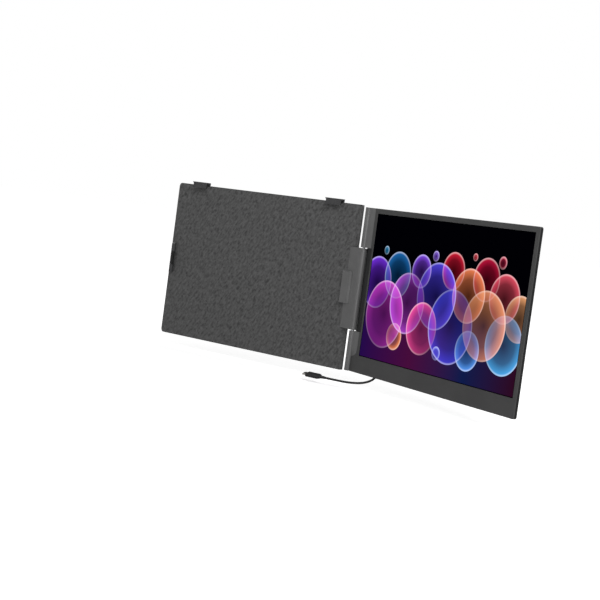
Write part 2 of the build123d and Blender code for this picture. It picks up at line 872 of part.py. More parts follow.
# The screen's lower edges seen from below, at the height of the ports.
port_plane = Plane(
    origin=screen.origin - outward * port_level + Vector(0, 0, port_wall_z),
    x_dir=along,
    z_dir=(0, 0, -1),
)
port_start = hump_start + port_inset
port_places = [(port_start + step * port_pitch, 0) for step in range(2)]
hdmi_place = (port_start + 2 * port_pitch, 0)
menu_key_place = hump_start + hump_width - key_inset
key_places = [(menu_key_place - key_pitch, 0), (menu_key_place, 0)]


def shell_outline(plane, inset):
    """The rear shell's outline, so far inside its three free edges."""
    with BuildSketch(plane) as outline:
        with Locations(((shell_lip + screen_width - inset) / 2, 0)):
            Rectangle(screen_width - inset - shell_lip, screen_height - 2 * inset)
        fillet(outline.vertices().group_by(Axis.X)[-1], screen_corner)
    return outline.sketch


with BuildPart() as rear_shell:
    extrude(shell_outline(screen.offset(-bezel_thickness), 0), amount=-side_wall_height)
    loft(
        [
            shell_outline(screen.offset(-side_wall_back), 0),
            shell_outline(screen.offset(-screen_back), back_chamfer_width),
        ]
    )
    # raised housing of the electronics
    with BuildSketch(screen_rear):
        with Locations((-hump_middle[0], hump_middle[1])):
            RectangleRounded(hump_width, hump_height, hump_corner)
    extrude(amount=hump_depth, taper=hump_taper)
    fillet(
        rear_shell.faces().sort_by(Axis(screen.origin, outward * -1))[-1].edges(),
        hump_edge_round,
    )
    with BuildSketch(screen_rear):
        with Locations((-hump_middle[0], hump_bottom)):
            Rectangle(hump_width, 2 * hump_slope)
    extrude(amount=hump_depth, mode=Mode.SUBTRACT)
    # bays of the display and of the electronics
    with BuildSketch(screen.offset(-cavity_front)):
        with Locations(display_place):
            Rectangle(panel_width + 2 * panel_play, panel_height + 2 * panel_play)
    extrude(amount=cavity_front - cavity_back, mode=Mode.SUBTRACT)
    with BuildSketch(screen.offset(-cavity_back)):
        with Locations(hump_middle):
            Rectangle(hump_width - 2 * hump_inset, hump_height - 2 * hump_inset)
    extrude(amount=cavity_back - hump_floor, mode=Mode.SUBTRACT)
    with BuildSketch(screen.offset(-hump_floor)):
        with Locations(*boss_points):
            Circle(boss_radius)
    extrude(amount=port_height)
    # barrel and knuckle room beside the hinge axis
    with BuildSketch(section.offset(-screen_top)):
        Circle(barrel_radius + cover_play)
    extrude(amount=screen_height, mode=Mode.SUBTRACT)
    with BuildSketch(section.offset(-barrel_start)):
        with BuildLine():
            Polyline(
                (-barrel_radius, 0),
                (pocket_foot, 0),
                (pocket_foot - screen_back / tan(arm_slope), screen_back),
                (-barrel_radius, screen_back),
                close=True,
            )
        make_face()
        with BuildLine():
            Polyline(
                (-barrel_radius, 0),
                (open_reach / sin(open_slope), 0),
                ((open_reach - screen_back * cos(open_slope)) / sin(open_slope), screen_back),
                (-barrel_radius, screen_back),
                close=True,
            )
        make_face()
        Circle(pocket_radius)
    extrude(amount=2 * barrel_start, mode=Mode.SUBTRACT)
    # beds of the hinge leaves
    with BuildSketch(screen.offset(-bezel_thickness)):
        for side in (-1, 1):
            with Locations((leaf_reach / 2, side * (curl_bottom + curl_top) / 2)):
                Rectangle(leaf_reach + 2 * leaf_play, curl_height + 2 * leaf_play)
    extrude(amount=bezel_thickness - curl_radius, mode=Mode.SUBTRACT)
    # openings of the ports, keys and speakers
    with BuildSketch(port_plane):
        with Locations(*port_places):
            RectangleRounded(port_width, port_height, port_corner)
        with Locations(hdmi_place):
            RectangleRounded(hdmi_width, port_height, port_wall)
        with Locations(*key_places):
            Rectangle(key_length + 2 * key_play, key_width + 2 * key_play)
    extrude(amount=-hump_wall, mode=Mode.SUBTRACT)
    with BuildSketch(screen_rear.offset(hump_depth)):
        for place in speaker_places:
            with Locations((-place[0], place[1])):
                with GridLocations(grille_pitch, 0, grille_slots, 1):
                    SlotOverall(grille_slot_length, grille_slot_width, rotation=90)
    extrude(amount=-hump_wall, mode=Mode.SUBTRACT)
    # screws
    screw_holes(
        leaf_plane.offset(screw_head_height), leaf_screw_points + lower_leaf_screw_points,
        leaf_screw_length,
    )
    screw_holes(screen_rear, shell_screw_points, shell_screw_length)
    screw_holes(
        screen.offset(screw_head_height - board_front), boss_points,
        board_thickness + boss_screw_length,
    )

shell_screws = screws(screen_rear, shell_screw_points, shell_screw_length)

# ---------------------------------------------------------------- electronics
with BuildPart() as main_board:
    with BuildSketch(screen.offset(-board_back)):
        with Locations(board_middle):
            Rectangle(board_width, board_height)
        with Locations(*boss_points):
            Circle(screw_shank_radius, mode=Mode.SUBTRACT)
    extrude(amount=board_thickness)

board_screws = screws(
    screen.offset(screw_head_height - board_front), boss_points,
    board_thickness + boss_screw_length,
)

tongue_plane = port_plane.offset(-port_recess - port_tongue_setback)

with BuildPart() as usb_c_sockets:
    with BuildSketch(port_plane.offset(-port_recess)):
        with Locations(*port_places):
            RectangleRounded(port_width, port_height, port_corner)
    extrude(amount=-port_depth)
    with BuildSketch(port_plane.offset(-port_recess)):
        with Locations(*port_places):
            RectangleRounded(
                port_width - 2 * port_wall, port_height - 2 * port_wall, port_corner - port_wall
            )
    extrude(amount=2 * port_wall - port_depth, mode=Mode.SUBTRACT)
    with BuildSketch(tongue_plane):
        with Locations(*port_places):
            Rectangle(port_tongue_width, port_tongue_thickness)
    extrude(amount=port_tongue_setback - port_depth + port_wall)

with BuildPart() as hdmi_socket:
    with BuildSketch(port_plane.offset(-port_recess)):
        with Locations(hdmi_place):
            RectangleRounded(hdmi_width, port_height, port_wall)
    extrude(amount=-port_depth)
    with BuildSketch(port_plane.offset(-port_recess)):
        with Locations(hdmi_place):
            Rectangle(hdmi_width - 2 * port_wall, port_height - 2 * port_wall)
    extrude(amount=2 * port_wall - port_depth, mode=Mode.SUBTRACT)
    with BuildSketch(tongue_plane):
        with Locations(hdmi_place):
            Rectangle(hdmi_tongue_width, port_tongue_thickness)
    extrude(amount=port_tongue_setback - port_depth + port_wall)


def speaker(place):
    """A flat loudspeaker with its cone towards the grille."""
    with BuildPart() as unit:
        with BuildSketch(screen.offset(-board_back)):
            with Locations(place):
                RectangleRounded(speaker_length, speaker_width, speaker_corner)
        extrude(amount=-port_height)
        with BuildSketch(screen.offset(-hump_floor)):
            with Locations(place):
                SlotOverall(speaker_length - 2 * speaker_rim, speaker_width - 2 * speaker_rim)
        extrude(amount=speaker_dish, mode=Mode.SUBTRACT)
    return unit


left_speaker = speaker(speaker_places[0])
right_speaker = speaker(speaker_places[1])

key_inside = hump_wall + key_flange_thickness
switch_start = key_inside + key_stem + key_travel + switch_play


def key(place):
    """A push key with the flange that keeps it in the shell and its stem."""
    with BuildPart() as cap:
        with BuildSketch(port_plane.offset(key_proud)):
            with Locations(place):
                RectangleRounded(key_length, key_width, key_corner)
        extrude(amount=-key_proud - hump_wall)
        with BuildSketch(port_plane.offset(-hump_wall)):
            with Locations(place):
                Rectangle(key_length + 2 * key_flange, key_width)
        extrude(amount=-key_flange_thickness)
        with BuildSketch(port_plane.offset(-key_inside)):
            with Locations(place):
                Circle(key_stem)
        extrude(amount=-key_stem)
    return cap


power_key = key(key_places[0])
menu_key = key(key_places[1])

with BuildPart() as key_switches:
    with BuildSketch(port_plane.offset(-switch_start)):
        with Locations(*key_places):
            Rectangle(switch_length, port_height)
    extrude(amount=-switch_depth)

# ================================================================ lead
lead_radius = lead_diameter / 2


def plug(plane, length):
    """The grip, the metal tip and the strain relief of a plug whose tip points out of the plane."""
    with BuildPart() as grip:
        with BuildSketch(plane):
            RectangleRounded(plug_width, plug_thickness, plug_round)
        extrude(amount=-length)
    with BuildPart() as tip:
        with BuildSketch(plane):
            RectangleRounded(plug_tip_width, plug_tip_thickness, plug_tip_corner)
        extrude(amount=plug_tip_length)
        with BuildSketch(plane.offset(plug_tip_length)):
            Rectangle(
                port_tongue_width + 2 * plug_slot_play,
                port_tongue_thickness + 2 * plug_slot_play,
            )
        extrude(amount=plug_slot_end - plug_tip_length, mode=Mode.SUBTRACT)
    with BuildPart() as relief:
        with BuildSketch(plane.offset(-length)):
            Circle(relief_base / 2)
        with BuildSketch(plane.offset(-length - relief_length)):
            Circle(relief_end / 2)
        loft()
    return grip, tip, relief


screen_plug_plane = Plane(
    origin=port_plane.origin + along * port_start - Vector(0, 0, plug_gap),
    x_dir=along,
    z_dir=(0, 0, 1),
)
laptop_plug_reach = laptop_plug_length + relief_length
laptop_plug_plane = Plane(
    origin=Vector(*laptop_plug_end) - Vector(laptop_plug_reach, 0, 0),
    x_dir=(0, -cos(radians(deck_tilt)), -sin(radians(deck_tilt))),
    z_dir=(-1, 0, 0),
)
screen_plug, screen_plug_tip, screen_plug_relief = plug(screen_plug_plane, plug_length)
laptop_plug, laptop_plug_tip, laptop_plug_relief = plug(laptop_plug_plane, laptop_plug_length)

# The lead leaves the screen's plug downwards, passes behind the screen's lower edge, dips under
# it and runs forward to the laptop's side.
lead_start = screen_plug_plane.origin - Vector(0, 0, plug_length + relief_length)
lead_points = [
    lead_start,
    lead_start - Vector(0, 0, lead_drop),
    *(Vector(*point) for point in lead_bends),
    Vector(*laptop_plug_end) + Vector(lead_run, 0, 0),
    Vector(*laptop_plug_end),
]
runs = [after - before for before, after in zip(lead_points, lead_points[1:])]
turns = [radians(before.get_angle(after)) for before, after in zip(runs, runs[1:])]
lead_radii = [
    bend_share * min(before.length, after.length) / tan(turn / 2)
    for before, after, turn in zip(runs, runs[1:], turns)
]
with BuildPart() as lead_cord:
    with BuildLine() as lead_path:
        FilletPolyline(*lead_points, radius=lead_radii)
    with BuildSketch(Plane(origin=lead_points[0], z_dir=runs[0])):
        Circle(lead_radius)
    sweep()

lead_length = lead_path.wires()[0].length
lead_section = pi * lead_radius**2
print("lead radii", [round(radius, 1) for radius in lead_radii])
print("lead length", round(lead_length, 2))
print("lead volume", round(lead_cord.part.volume, 2), "of", round(lead_section * lead_length, 2))

# ================================================================ pieces
pieces = {
    "back_plate": back_plate,
    "front_lining": front_lining,
    "rear_cover": rear_cover,
    "cover_screws": cover_screws,
    "hinge_arm": hinge_arm,
    "arm_screws": arm_screws,
    "upper_hinge_shaft": upper_hinge_shaft,
    "lower_hinge_shaft": lower_hinge_shaft,
    "upper_friction_washers": upper_friction_washers,
    "lower_friction_washers": lower_friction_washers,
    "upper_hinge_nut": upper_hinge_nut,
    "lower_hinge_nut": lower_hinge_nut,
    "right_clip": right_clip,
    "right_clip_pad": right_clip_pad,
    "left_clip_springs": left_clip_springs,
    "top_left_clip_spring": top_left_clip_spring,
    "top_right_clip_spring": top_right_clip_spring,
    "left_clip": left_clip,
    "left_clip_pad": left_clip_pad,
    "top_left_clip": top_left_clip,
    "top_left_clip_pad": top_left_clip_pad,
    "top_right_clip": top_right_clip,
    "top_right_clip_pad": top_right_clip_pad,
    "kickstand": kickstand,
    "kickstand_pins": kickstand_pins,
    "kickstand_foot": kickstand_foot,
    "screen_bezel": screen_bezel,
    "display_glass": display_glass,
    "lcd_panel": lcd_panel,
    "rear_shell": rear_shell,
    "shell_screws": shell_screws,
    "upper_hinge_cover": upper_hinge_cover,
    "lower_hinge_cover": lower_hinge_cover,
    "upper_hinge_bracket": upper_hinge_bracket,
    "lower_hinge_bracket": lower_hinge_bracket,
    "hinge_screws": hinge_screws,
    "main_board": main_board,
    "board_screws": board_screws,
    "usb_c_sockets": usb_c_sockets,
    "hdmi_socket": hdmi_socket,
    "key_switches": key_switches,
    "left_speaker": left_speaker,
    "right_speaker": right_speaker,
    "power_key": power_key,
    "menu_key": menu_key,
    "screen_plug": screen_plug,
    "screen_plug_tip": screen_plug_tip,
    "screen_plug_relief": screen_plug_relief,
    "lead_cord": lead_cord,
    "laptop_plug_relief": laptop_plug_relief,
    "laptop_plug": laptop_plug,
    "laptop_plug_tip": laptop_plug_tip,
}
for name, piece in pieces.items():
    piece.part.label = name
    export_step(piece.part, f"parts/{name}.step")
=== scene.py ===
import json
import math

import bpy
import numpy as np
from mathutils import Matrix, Vector


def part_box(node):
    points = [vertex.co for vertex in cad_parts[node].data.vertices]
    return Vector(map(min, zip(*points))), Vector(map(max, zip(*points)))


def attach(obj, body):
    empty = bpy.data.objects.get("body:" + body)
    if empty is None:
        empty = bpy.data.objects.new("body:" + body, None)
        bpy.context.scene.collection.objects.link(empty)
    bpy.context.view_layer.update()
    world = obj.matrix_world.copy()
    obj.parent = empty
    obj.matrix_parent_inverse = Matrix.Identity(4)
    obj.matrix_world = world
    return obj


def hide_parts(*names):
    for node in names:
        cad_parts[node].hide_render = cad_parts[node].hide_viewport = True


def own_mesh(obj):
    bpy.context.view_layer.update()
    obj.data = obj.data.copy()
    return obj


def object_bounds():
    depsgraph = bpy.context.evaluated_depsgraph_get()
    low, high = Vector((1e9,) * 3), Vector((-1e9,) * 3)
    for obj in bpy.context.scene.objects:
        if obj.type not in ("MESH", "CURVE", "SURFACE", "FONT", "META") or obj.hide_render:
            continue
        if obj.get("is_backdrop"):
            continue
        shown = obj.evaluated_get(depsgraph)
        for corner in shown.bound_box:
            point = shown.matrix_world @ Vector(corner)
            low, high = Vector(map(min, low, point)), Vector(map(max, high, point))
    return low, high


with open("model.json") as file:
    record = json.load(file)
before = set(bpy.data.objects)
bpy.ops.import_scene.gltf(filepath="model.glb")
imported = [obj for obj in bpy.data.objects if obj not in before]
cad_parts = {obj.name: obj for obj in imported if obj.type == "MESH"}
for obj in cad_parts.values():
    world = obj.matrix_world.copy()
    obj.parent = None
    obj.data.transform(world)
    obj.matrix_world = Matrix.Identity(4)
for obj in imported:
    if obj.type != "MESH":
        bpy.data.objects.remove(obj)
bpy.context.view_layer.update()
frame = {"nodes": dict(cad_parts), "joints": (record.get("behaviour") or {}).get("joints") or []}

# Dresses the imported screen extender: a finish for every piece, the lead with its plugs, the
# hinge covers and clip springs in their full shape, and a plain pale studio. Everything is in
# metres, in the part's own frame.

millimetre = 0.001
nodes = frame["nodes"]
joints = {joint["name"]: joint for joint in frame["joints"]}
print("frame loaded,", len(nodes), "nodes")


# ---- camera ----

cameraSettings = {
    "lens": 90.86,  # millimetres, on a 36 mm wide sensor
    "azimuth": 40.571,  # degrees round from the front, towards the hinge side
    "elevation": 3.029,
    "roll": 7.68,
    "target": (0.09376, -0.005, -0.029),
    "distance": 2.1338,
}


def makeCamera(settings):
    azimuth = math.radians(settings["azimuth"])
    elevation = math.radians(settings["elevation"])
    roll = math.radians(settings["roll"])
    back = Vector((
        math.sin(azimuth) * math.cos(elevation),
        -math.cos(azimuth) * math.cos(elevation),
        math.sin(elevation),
    ))
    level = Vector((0, 0, 1)).cross(back).normalized()
    upright = back.cross(level)
    right = level * math.cos(roll) + upright * math.sin(roll)
    up = upright * math.cos(roll) - level * math.sin(roll)
    place = Vector(settings["target"]) + back * settings["distance"]
    data = bpy.data.cameras.new("studioCamera")
    data.lens = settings["lens"]
    data.sensor_width = 36
    camera = bpy.data.objects.new("studioCamera", data)
    turn = Matrix((right, up, back)).transposed()
    camera.matrix_world = Matrix.Translation(place) @ turn.to_4x4()
    bpy.context.collection.objects.link(camera)
    bpy.context.scene.camera = camera


makeCamera(cameraSettings)
bpy.context.scene.view_settings.view_transform = "Standard"
print("camera set")


# ---- lead ----

leadSettings = {
    "diameter": 3.0 * millimetre,
    "length": 98.0 * millimetre,  # from one plug's relief to the other's
    "route": [  # millimetres; the last point is where the lead enters the laptop's plug
        (264.100, -23.205, -88.3),
        (264.100, -23.205, -99.0),
        (257.5, -20.6, -113.0),
        (245.0, -26.5, -121.8),
        (230.5, -41.5, -123.9),
        (214.5, -56.0, -122.4),
        (200.0, -56.0, -122.4),
    ],
}


def makeLead(settings):
    data = bpy.data.curves.new("lead", "CURVE")
    data.dimensions = "3D"
    data.bevel_depth = 1.0  # times each point's radius, so that the curve's box stays its own
    data.bevel_resolution = 8
    data.resolution_u = 24
    data.use_fill_caps = True
    spline = data.splines.new("NURBS")
    spline.points.add(len(settings["route"]) - 1)
    for point, place in zip(spline.points, settings["route"]):
        point.co = (*(Vector(place) * millimetre), 1)
        point.radius = settings["diameter"] / 2
    spline.order_u = 3
    spline.use_endpoint_u = True
    lead = bpy.data.objects.new("lead", data)
    bpy.context.collection.objects.link(lead)
    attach(lead, "screen")
    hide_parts("lead_cord")
    return lead


lead = makeLead(leadSettings)
leadStart, leadNext = [Vector(place) * millimetre for place in leadSettings["route"][:2]]
leadEnd = Vector(leadSettings["route"][-1]) * millimetre
print("lead laid")


# ---- surfaces ----

def addSurface(name, grid, body):
    # grid[i, j] is a point: i runs along the piece and j goes round it. Faces join
    # neighbours (i, j), (i, j+1), (i+1, j+1), (i+1, j), and a pole in the middle of the
    # first ring and one in the middle of the last close the ends.
    rows, columns = grid.shape[:2]
    points = np.vstack([grid.reshape(-1, 3), grid[0].mean(0), grid[-1].mean(0)])
    first, last = len(points) - 2, len(points) - 1
    index = np.arange(rows * columns).reshape(rows, columns)
    across = np.roll(index, -1, axis=1)
    quads = np.stack([index[:-1], across[:-1], across[1:], index[1:]], axis=-1).reshape(-1, 4)
    faces = quads.tolist()
    faces += np.stack([np.full(columns, first), across[0], index[0]], axis=-1).tolist()
    faces += np.stack([np.full(columns, last), index[-1], across[-1]], axis=-1).tolist()
    mesh = bpy.data.meshes.new(name)
    mesh.from_pydata(points.tolist(), [], faces)
    mesh.shade_smooth()
    piece = bpy.data.objects.new(name, mesh)
    bpy.context.collection.objects.link(piece)
    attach(piece, body)
    return piece


def softStep(value, start, end):
    # s = 3t^2 - 2t^3 with t = (value - start) / (end - start), held between 0 and 1
    share = np.clip((value - start) / (end - start), 0, 1)
    return share * share * (3 - 2 * share)


def sweptSection(origin, axis, wide, along, halfWidth, halfDepth, power, around=48):
    # Point (i, j) = origin + axis a_i + wide w_i C_j + deep d_i S_j, where
    # C = sign(cos v) |cos v|^(2/p) and S = sign(sin v) |sin v|^(2/p): a superellipse of
    # power p, 2 for an ellipse and more for a squarer one, carried along the axis.
    axis, wide = np.array(axis.normalized()), np.array(wide.normalized())
    deep = np.cross(axis, wide)
    turn = np.linspace(0, 2 * np.pi, around, endpoint=False)[None, :]
    bend = 2 / np.broadcast_to(power, along.shape)[:, None]
    cosine = np.sign(np.cos(turn)) * np.abs(np.cos(turn)) ** bend
    sine = np.sign(np.sin(turn)) * np.abs(np.sin(turn)) ** bend
    return (
        np.array(origin)
        + along[:, None, None] * axis
        + (halfWidth[:, None] * cosine)[..., None] * wide
        + (halfDepth[:, None] * sine)[..., None] * deep
    )


# ---- plugs ----

gripSettings = {
    "width": 11.0, "depth": 5.2,  # millimetres
    "square": 3.4,  # power of the section: 2 is an ellipse, more is squarer
    "nose": 1.1,  # rounding of the end at the metal tip
    "heel": 3.4,  # length that narrows towards the relief
    "heelWidth": 7.0, "heelDepth": 4.9,
    "ribs": 5, "ribPitch": 1.5, "ribStart": 5.6,
    "ribDepth": 0.32,  # of each groove on each side
}
reliefSettings = {
    "base": 4.6, "end": 3.6,
    "narrow": 0.25, "narrowReach": 0.5,  # how far the radius draws in over the last stretch
    "rings": 5, "ringStart": 1.3, "ringPitch": 1.45, "ringDepth": 0.42, "ringWidth": 0.32,
}
tipSettings = {
    "width": 8.3, "depth": 2.3, "square": 4.5, "wall": 0.32, "mouth": 5.0, "edge": 0.14,
}


def makeGrip(name, node, nose, axis, wide, length):
    # nose is the middle of the end at the metal tip, and axis points from there to the lead
    look = gripSettings
    along = np.linspace(0, length, 140)
    rise = np.sqrt(np.clip(1 - (1 - np.clip(along / look["nose"], 0, 1)) ** 2, 0, 1))
    fall = softStep(along, length - look["heel"], length)
    width = look["width"] - look["nose"] * (1 - rise) - (look["width"] - look["heelWidth"]) * fall
    depth = look["depth"] - look["nose"] * (1 - rise) - (look["depth"] - look["heelDepth"]) * fall
    # grooves: depth less r (1 - cos(2 pi (a - a0) / pitch)) over the ribbed stretch
    wave = (along - look["ribStart"]) / look["ribPitch"]
    ribbed = (wave > 0) & (wave < look["ribs"])
    depth = depth - look["ribDepth"] * (1 - np.cos(2 * np.pi * wave)) * ribbed
    grid = sweptSection(
        nose, axis, wide, along * millimetre, width / 2 * millimetre, depth / 2 * millimetre,
        look["square"],
    )
    grip = addSurface(name, grid, "screen")
    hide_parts(node)
    return grip


def makeRelief(name, node, base, axis, wide, length):
    # round section that tapers from the grip to the lead, with a ring groove at each
    # a_k = start + k pitch: radius less g exp(-((a - a_k) / w)^2)
    look = reliefSettings
    along = np.linspace(0, length, 180)
    radius = (look["base"] + (look["end"] - look["base"]) * along / length) / 2
    grooves = look["ringStart"] + look["ringPitch"] * np.arange(look["rings"])
    dip = np.exp(-(((along[:, None] - grooves) / look["ringWidth"]) ** 2)).sum(1)
    drawn = softStep(along, length - look["narrowReach"], length)
    radius = (radius - look["ringDepth"] * dip - look["narrow"] * drawn) * millimetre
    grid = sweptSection(base, axis, wide, along * millimetre, radius, radius, 2.0, 40)
    relief = addSurface(name, grid, "screen")
    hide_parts(node)
    return relief


def makeTip(name, node, base, axis, wide, length):
    # drawn metal sleeve: out along its outside, over a rounded lip and back down the mouth
    look = tipSettings
    edge = look["edge"]
    outside = np.linspace(0, length - edge, 24)
    lip = np.linspace(0, np.pi, 9)
    inside = np.linspace(length - edge, length - look["mouth"], 16)
    along = np.concatenate([outside, length - edge + edge * np.sin(lip), inside])
    inset = np.concatenate([
        0 * outside, look["wall"] * (1 - np.cos(lip)) / 2, np.full(len(inside), look["wall"]),
    ])
    grid = sweptSection(
        base, axis, wide, along * millimetre,
        (look["width"] / 2 - inset) * millimetre, (look["depth"] / 2 - inset) * millimetre,
        look["square"], 56,
    )
    tip = addSurface(name, grid, "screen")
    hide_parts(node)
    return tip


plugSettings = {
    "screen": {"grip": 17.0, "relief": 9.0, "tip": 6.2},
    "laptop": {"grip": 23.0, "relief": 9.0, "tip": 6.2},
    "deckTilt": 18.9,  # degrees by which the laptop's socket leans with its deck
}


def makePlug(side, leadPlace, outward, wide):
    # outward points from the lead to the plug's tip
    sizes = plugSettings[side]
    gripBack = leadPlace + outward * sizes["relief"] * millimetre
    nose = gripBack + outward * sizes["grip"] * millimetre
    return [
        makeGrip(side + "PlugGrip", side + "_plug", nose, -outward, wide, sizes["grip"]),
        makeRelief(
            side + "PlugRelief", side + "_plug_relief", gripBack, -outward, wide, sizes["relief"]
        ),
        makeTip(side + "PlugTip", side + "_plug_tip", nose, outward, wide, sizes["tip"]),
    ]


hingePlace = Vector(joints["screen_swing"]["pos_m"])
screenSettings = {
    "opening": 160.1,  # degrees between the plate and the screen at rest
    "hingeBorder": 24.3,  # millimetres from the hinge axis to the display
    "width": 344.2, "height": 193.6,
    "middle": 8.4,  # height of the display's middle
}
screenSwing = math.radians(180 - screenSettings["opening"])
screenAlong = Vector((math.cos(screenSwing), -math.sin(screenSwing), 0))
screenOut = Vector((-math.sin(screenSwing), -math.cos(screenSwing), 0))
deckTilt = math.radians(plugSettings["deckTilt"])
laptopWide = Vector((0, -math.cos(deckTilt), -math.sin(deckTilt)))
screenPlug = makePlug("screen", leadStart, (leadStart - leadNext).normalized(), screenAlong)
laptopPlug = makePlug("laptop", leadEnd, Vector((-1, 0, 0)), laptopWide)
print("plugs made")


# ---- hinge covers ----

coverSettings = {
    "radius": 4.5, "bore": 3.0, "cap": 2.0,  # millimetres; cap is what closes the bore
    "reach": 17.4,  # from the hinge axis to the foot of the ramp
    "bezel": 20.8,  # from the hinge axis to the bezel, which a strip carries on to the ramp
    "back": 1.1,  # thickness at the bezel
    "slope": 5.2,  # degrees that the ramp leans from the screen's face
    "leave": 60.0,  # degrees from the screen's normal where the ramp leaves the barrel
    "sink": (80.0, 97.0),  # down from the plate's middle, where the lower ramp ends in the chin
    "dip": 0.4,  # how far it goes down behind the chin's face
    "chin": 4.0,  # from the hinge axis to the chin's edge, inside the barrel
    "round": 0.2, "roundPast": 50.0,  # rounding of the edges, and from how many degrees
    "sharp": 35.0,  # degrees between faces past which an edge shows
    "stripSquare": 24.0,  # power of a strip's section, nearly a plain bar
}


def coverOutline(look):
    # Round the barrel: (u, v) = (R sin t, R cos t), with u along the screen and v out of its
    # face, from the flat back to where the ramp leaves. Then the ramp down to the bezel:
    # v = s (reach - u) + d e^(-(u - u0) / w), with w such that it leaves along the tangent.
    # Sunken, the ramp goes on round the barrel, v = sqrt(R^2 - u^2), and ends in the dip.
    radius, reach, back = look["radius"], look["reach"], look["back"]
    leave, slope = math.radians(look["leave"]), math.tan(math.radians(look["slope"]))
    turn = np.linspace(math.pi / 2 + math.asin(back / radius) - 2 * math.pi, leave, 72)
    startU, startV = radius * math.sin(leave), radius * math.cos(leave)
    drop = startV - slope * (reach - startU)
    width = drop / (math.tan(leave) - slope)
    share = np.linspace(0, 1, 33)[1:]
    across = startU + (reach - startU) * share ** 2
    rampV = slope * (reach - across) + drop * np.exp(-(across - startU) / width)
    backU = np.linspace(reach, radius * math.cos(math.asin(back / radius)), 9)[:-1]
    along = np.concatenate([radius * np.sin(turn), across, backU])
    out = np.concatenate([radius * np.cos(turn), rampV, np.full(len(backU), -back)])
    dip = look["dip"] * np.clip((across - startU) / (radius - startU), 0, 1)
    sunken = np.sqrt(np.clip(radius ** 2 - across ** 2, 0, None)) - dip
    return along, out, np.concatenate([out[:len(turn)], sunken, out[-len(backU):]])


def coverEnds(node):
    # how far the end at the knuckle and the other lie from the plate's middle
    return sorted(abs(corner.z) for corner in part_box(node))


def makeCover(name, node, side, look):
    # side is 1 for the upper cover and -1 for the lower. The rows run from the closed end
    # of the bore down its wall, out over the open end and up the outside. Point =
    # axis + u along + v out of the screen, at each row's level, and the lower ramp sinks.
    low, high = coverEnds(node)
    along, out, sunken = coverOutline(look)
    angle = np.arctan2(along, out)
    levels = np.linspace(low, high, 49)
    sink = (side < 0) * softStep(levels / millimetre, *look["sink"])[:, None]
    bore = look["bore"] * np.ones((2, 1))
    u = np.vstack([bore * np.sin(angle), along + 0 * sink])
    v = np.vstack([bore * np.cos(angle), out + (sunken - out) * sink])
    z = side * np.concatenate([[high - look["cap"] * millimetre, low], levels])
    grid = (
        np.array((hingePlace.x, hingePlace.y, 0))
        + (u[..., None] * np.array(screenAlong) + v[..., None] * np.array(screenOut)) * millimetre
        + z[:, None, None] * np.array((0, 0, 1))
    )
    cover = addSurface(name, grid[:, ::side], "screen")
    cover.data.set_sharp_from_angle(angle=math.radians(look["sharp"]))
    edges = cover.modifiers.new("roundedEdges", "BEVEL")
    edges.width = look["round"] * millimetre
    edges.segments = 3
    edges.limit_method = "ANGLE"
    edges.angle_limit = math.radians(look["roundPast"])
    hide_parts(node)
    return cover


def makeStrip(name, side, start, low, high, look):
    # flat bar with hardly rounded edges, flush with the bezel, that reaches from start to it
    half = (look["bezel"] - start) / 2
    middle = hingePlace + screenAlong * (start + half) * millimetre
    middle -= screenOut * look["back"] / 2 * millimetre
    along = np.linspace(low, high, 12)
    even = np.full(len(along), millimetre)
    grid = sweptSection(
        Vector((middle.x, middle.y, 0)), Vector((0, 0, side)), screenAlong, along,
        half * even, look["back"] / 2 * even, look["stripSquare"],
    )
    strip = addSurface(name, grid, "screen")
    strip.data.set_sharp_from_angle(angle=math.radians(look["sharp"]))
    return strip


hingeCovers = [
    makeCover("upperCover", "upper_hinge_cover", 1, coverSettings),
    makeCover("lowerCover", "lower_hinge_cover", -1, coverSettings),
]


def makeBezelStrips(look):
    # beside each ramp, and a wide one where the chin runs on to the barrel
    upperLow, upperHigh = coverEnds("upper_hinge_cover")
    lowerLow, lowerHigh = coverEnds("lower_hinge_cover")
    chinTop = look["sink"][0] * millimetre
    return [
        makeStrip("upperStrip", 1, look["reach"], upperLow, upperHigh, look),
        makeStrip("lowerStrip", -1, look["reach"], lowerLow, chinTop, look),
        makeStrip("chinStrip", -1, look["chin"], chinTop, lowerHigh, look),
    ]


bezelStrips = makeBezelStrips(coverSettings)
print("hinge covers made")


# ---- clip springs ----

springSettings = {
    "wire": 0.42,  # millimetres thick
    "turns": 11,
    "steps": 24,  # points along each turn
    "sides": 8,  # points round the wire
}


def makeSpring(name, node, post, axis, length, width):
    # helix = post + axis l + r (wide cos a + deep sin a), and round it the wire:
    # helix + w (radial cos b + binormal sin b).
    wire = springSettings["wire"] / 2 * millimetre
    turns = springSettings["turns"]
    axis = np.array(axis, float)
    wide = np.array((0.0, 1.0, 0.0))
    deep = np.cross(axis, wide)
    turn = np.linspace(0, turns * 2 * np.pi, turns * springSettings["steps"] + 1)[:, None]
    rise = np.linspace(wire, length - wire, len(turn))[:, None]
    radial = np.cos(turn) * wide + np.sin(turn) * deep
    helix = np.array(post) + rise * axis + (width / 2 - wire) * radial
    tangent = np.gradient(helix, axis=0)
    tangent /= np.linalg.norm(tangent, axis=1, keepdims=True)
    binormal = np.cross(tangent, radial)
    ring = np.linspace(0, 2 * np.pi, springSettings["sides"], endpoint=False)[None, :, None]
    outward = radial[:, None] * np.cos(ring) + binormal[:, None] * np.sin(ring)
    grid = helix[:, None] + wire * outward
    spring = addSurface(name, grid, "bracket")
    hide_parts(node)
    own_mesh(spring)
    return spring


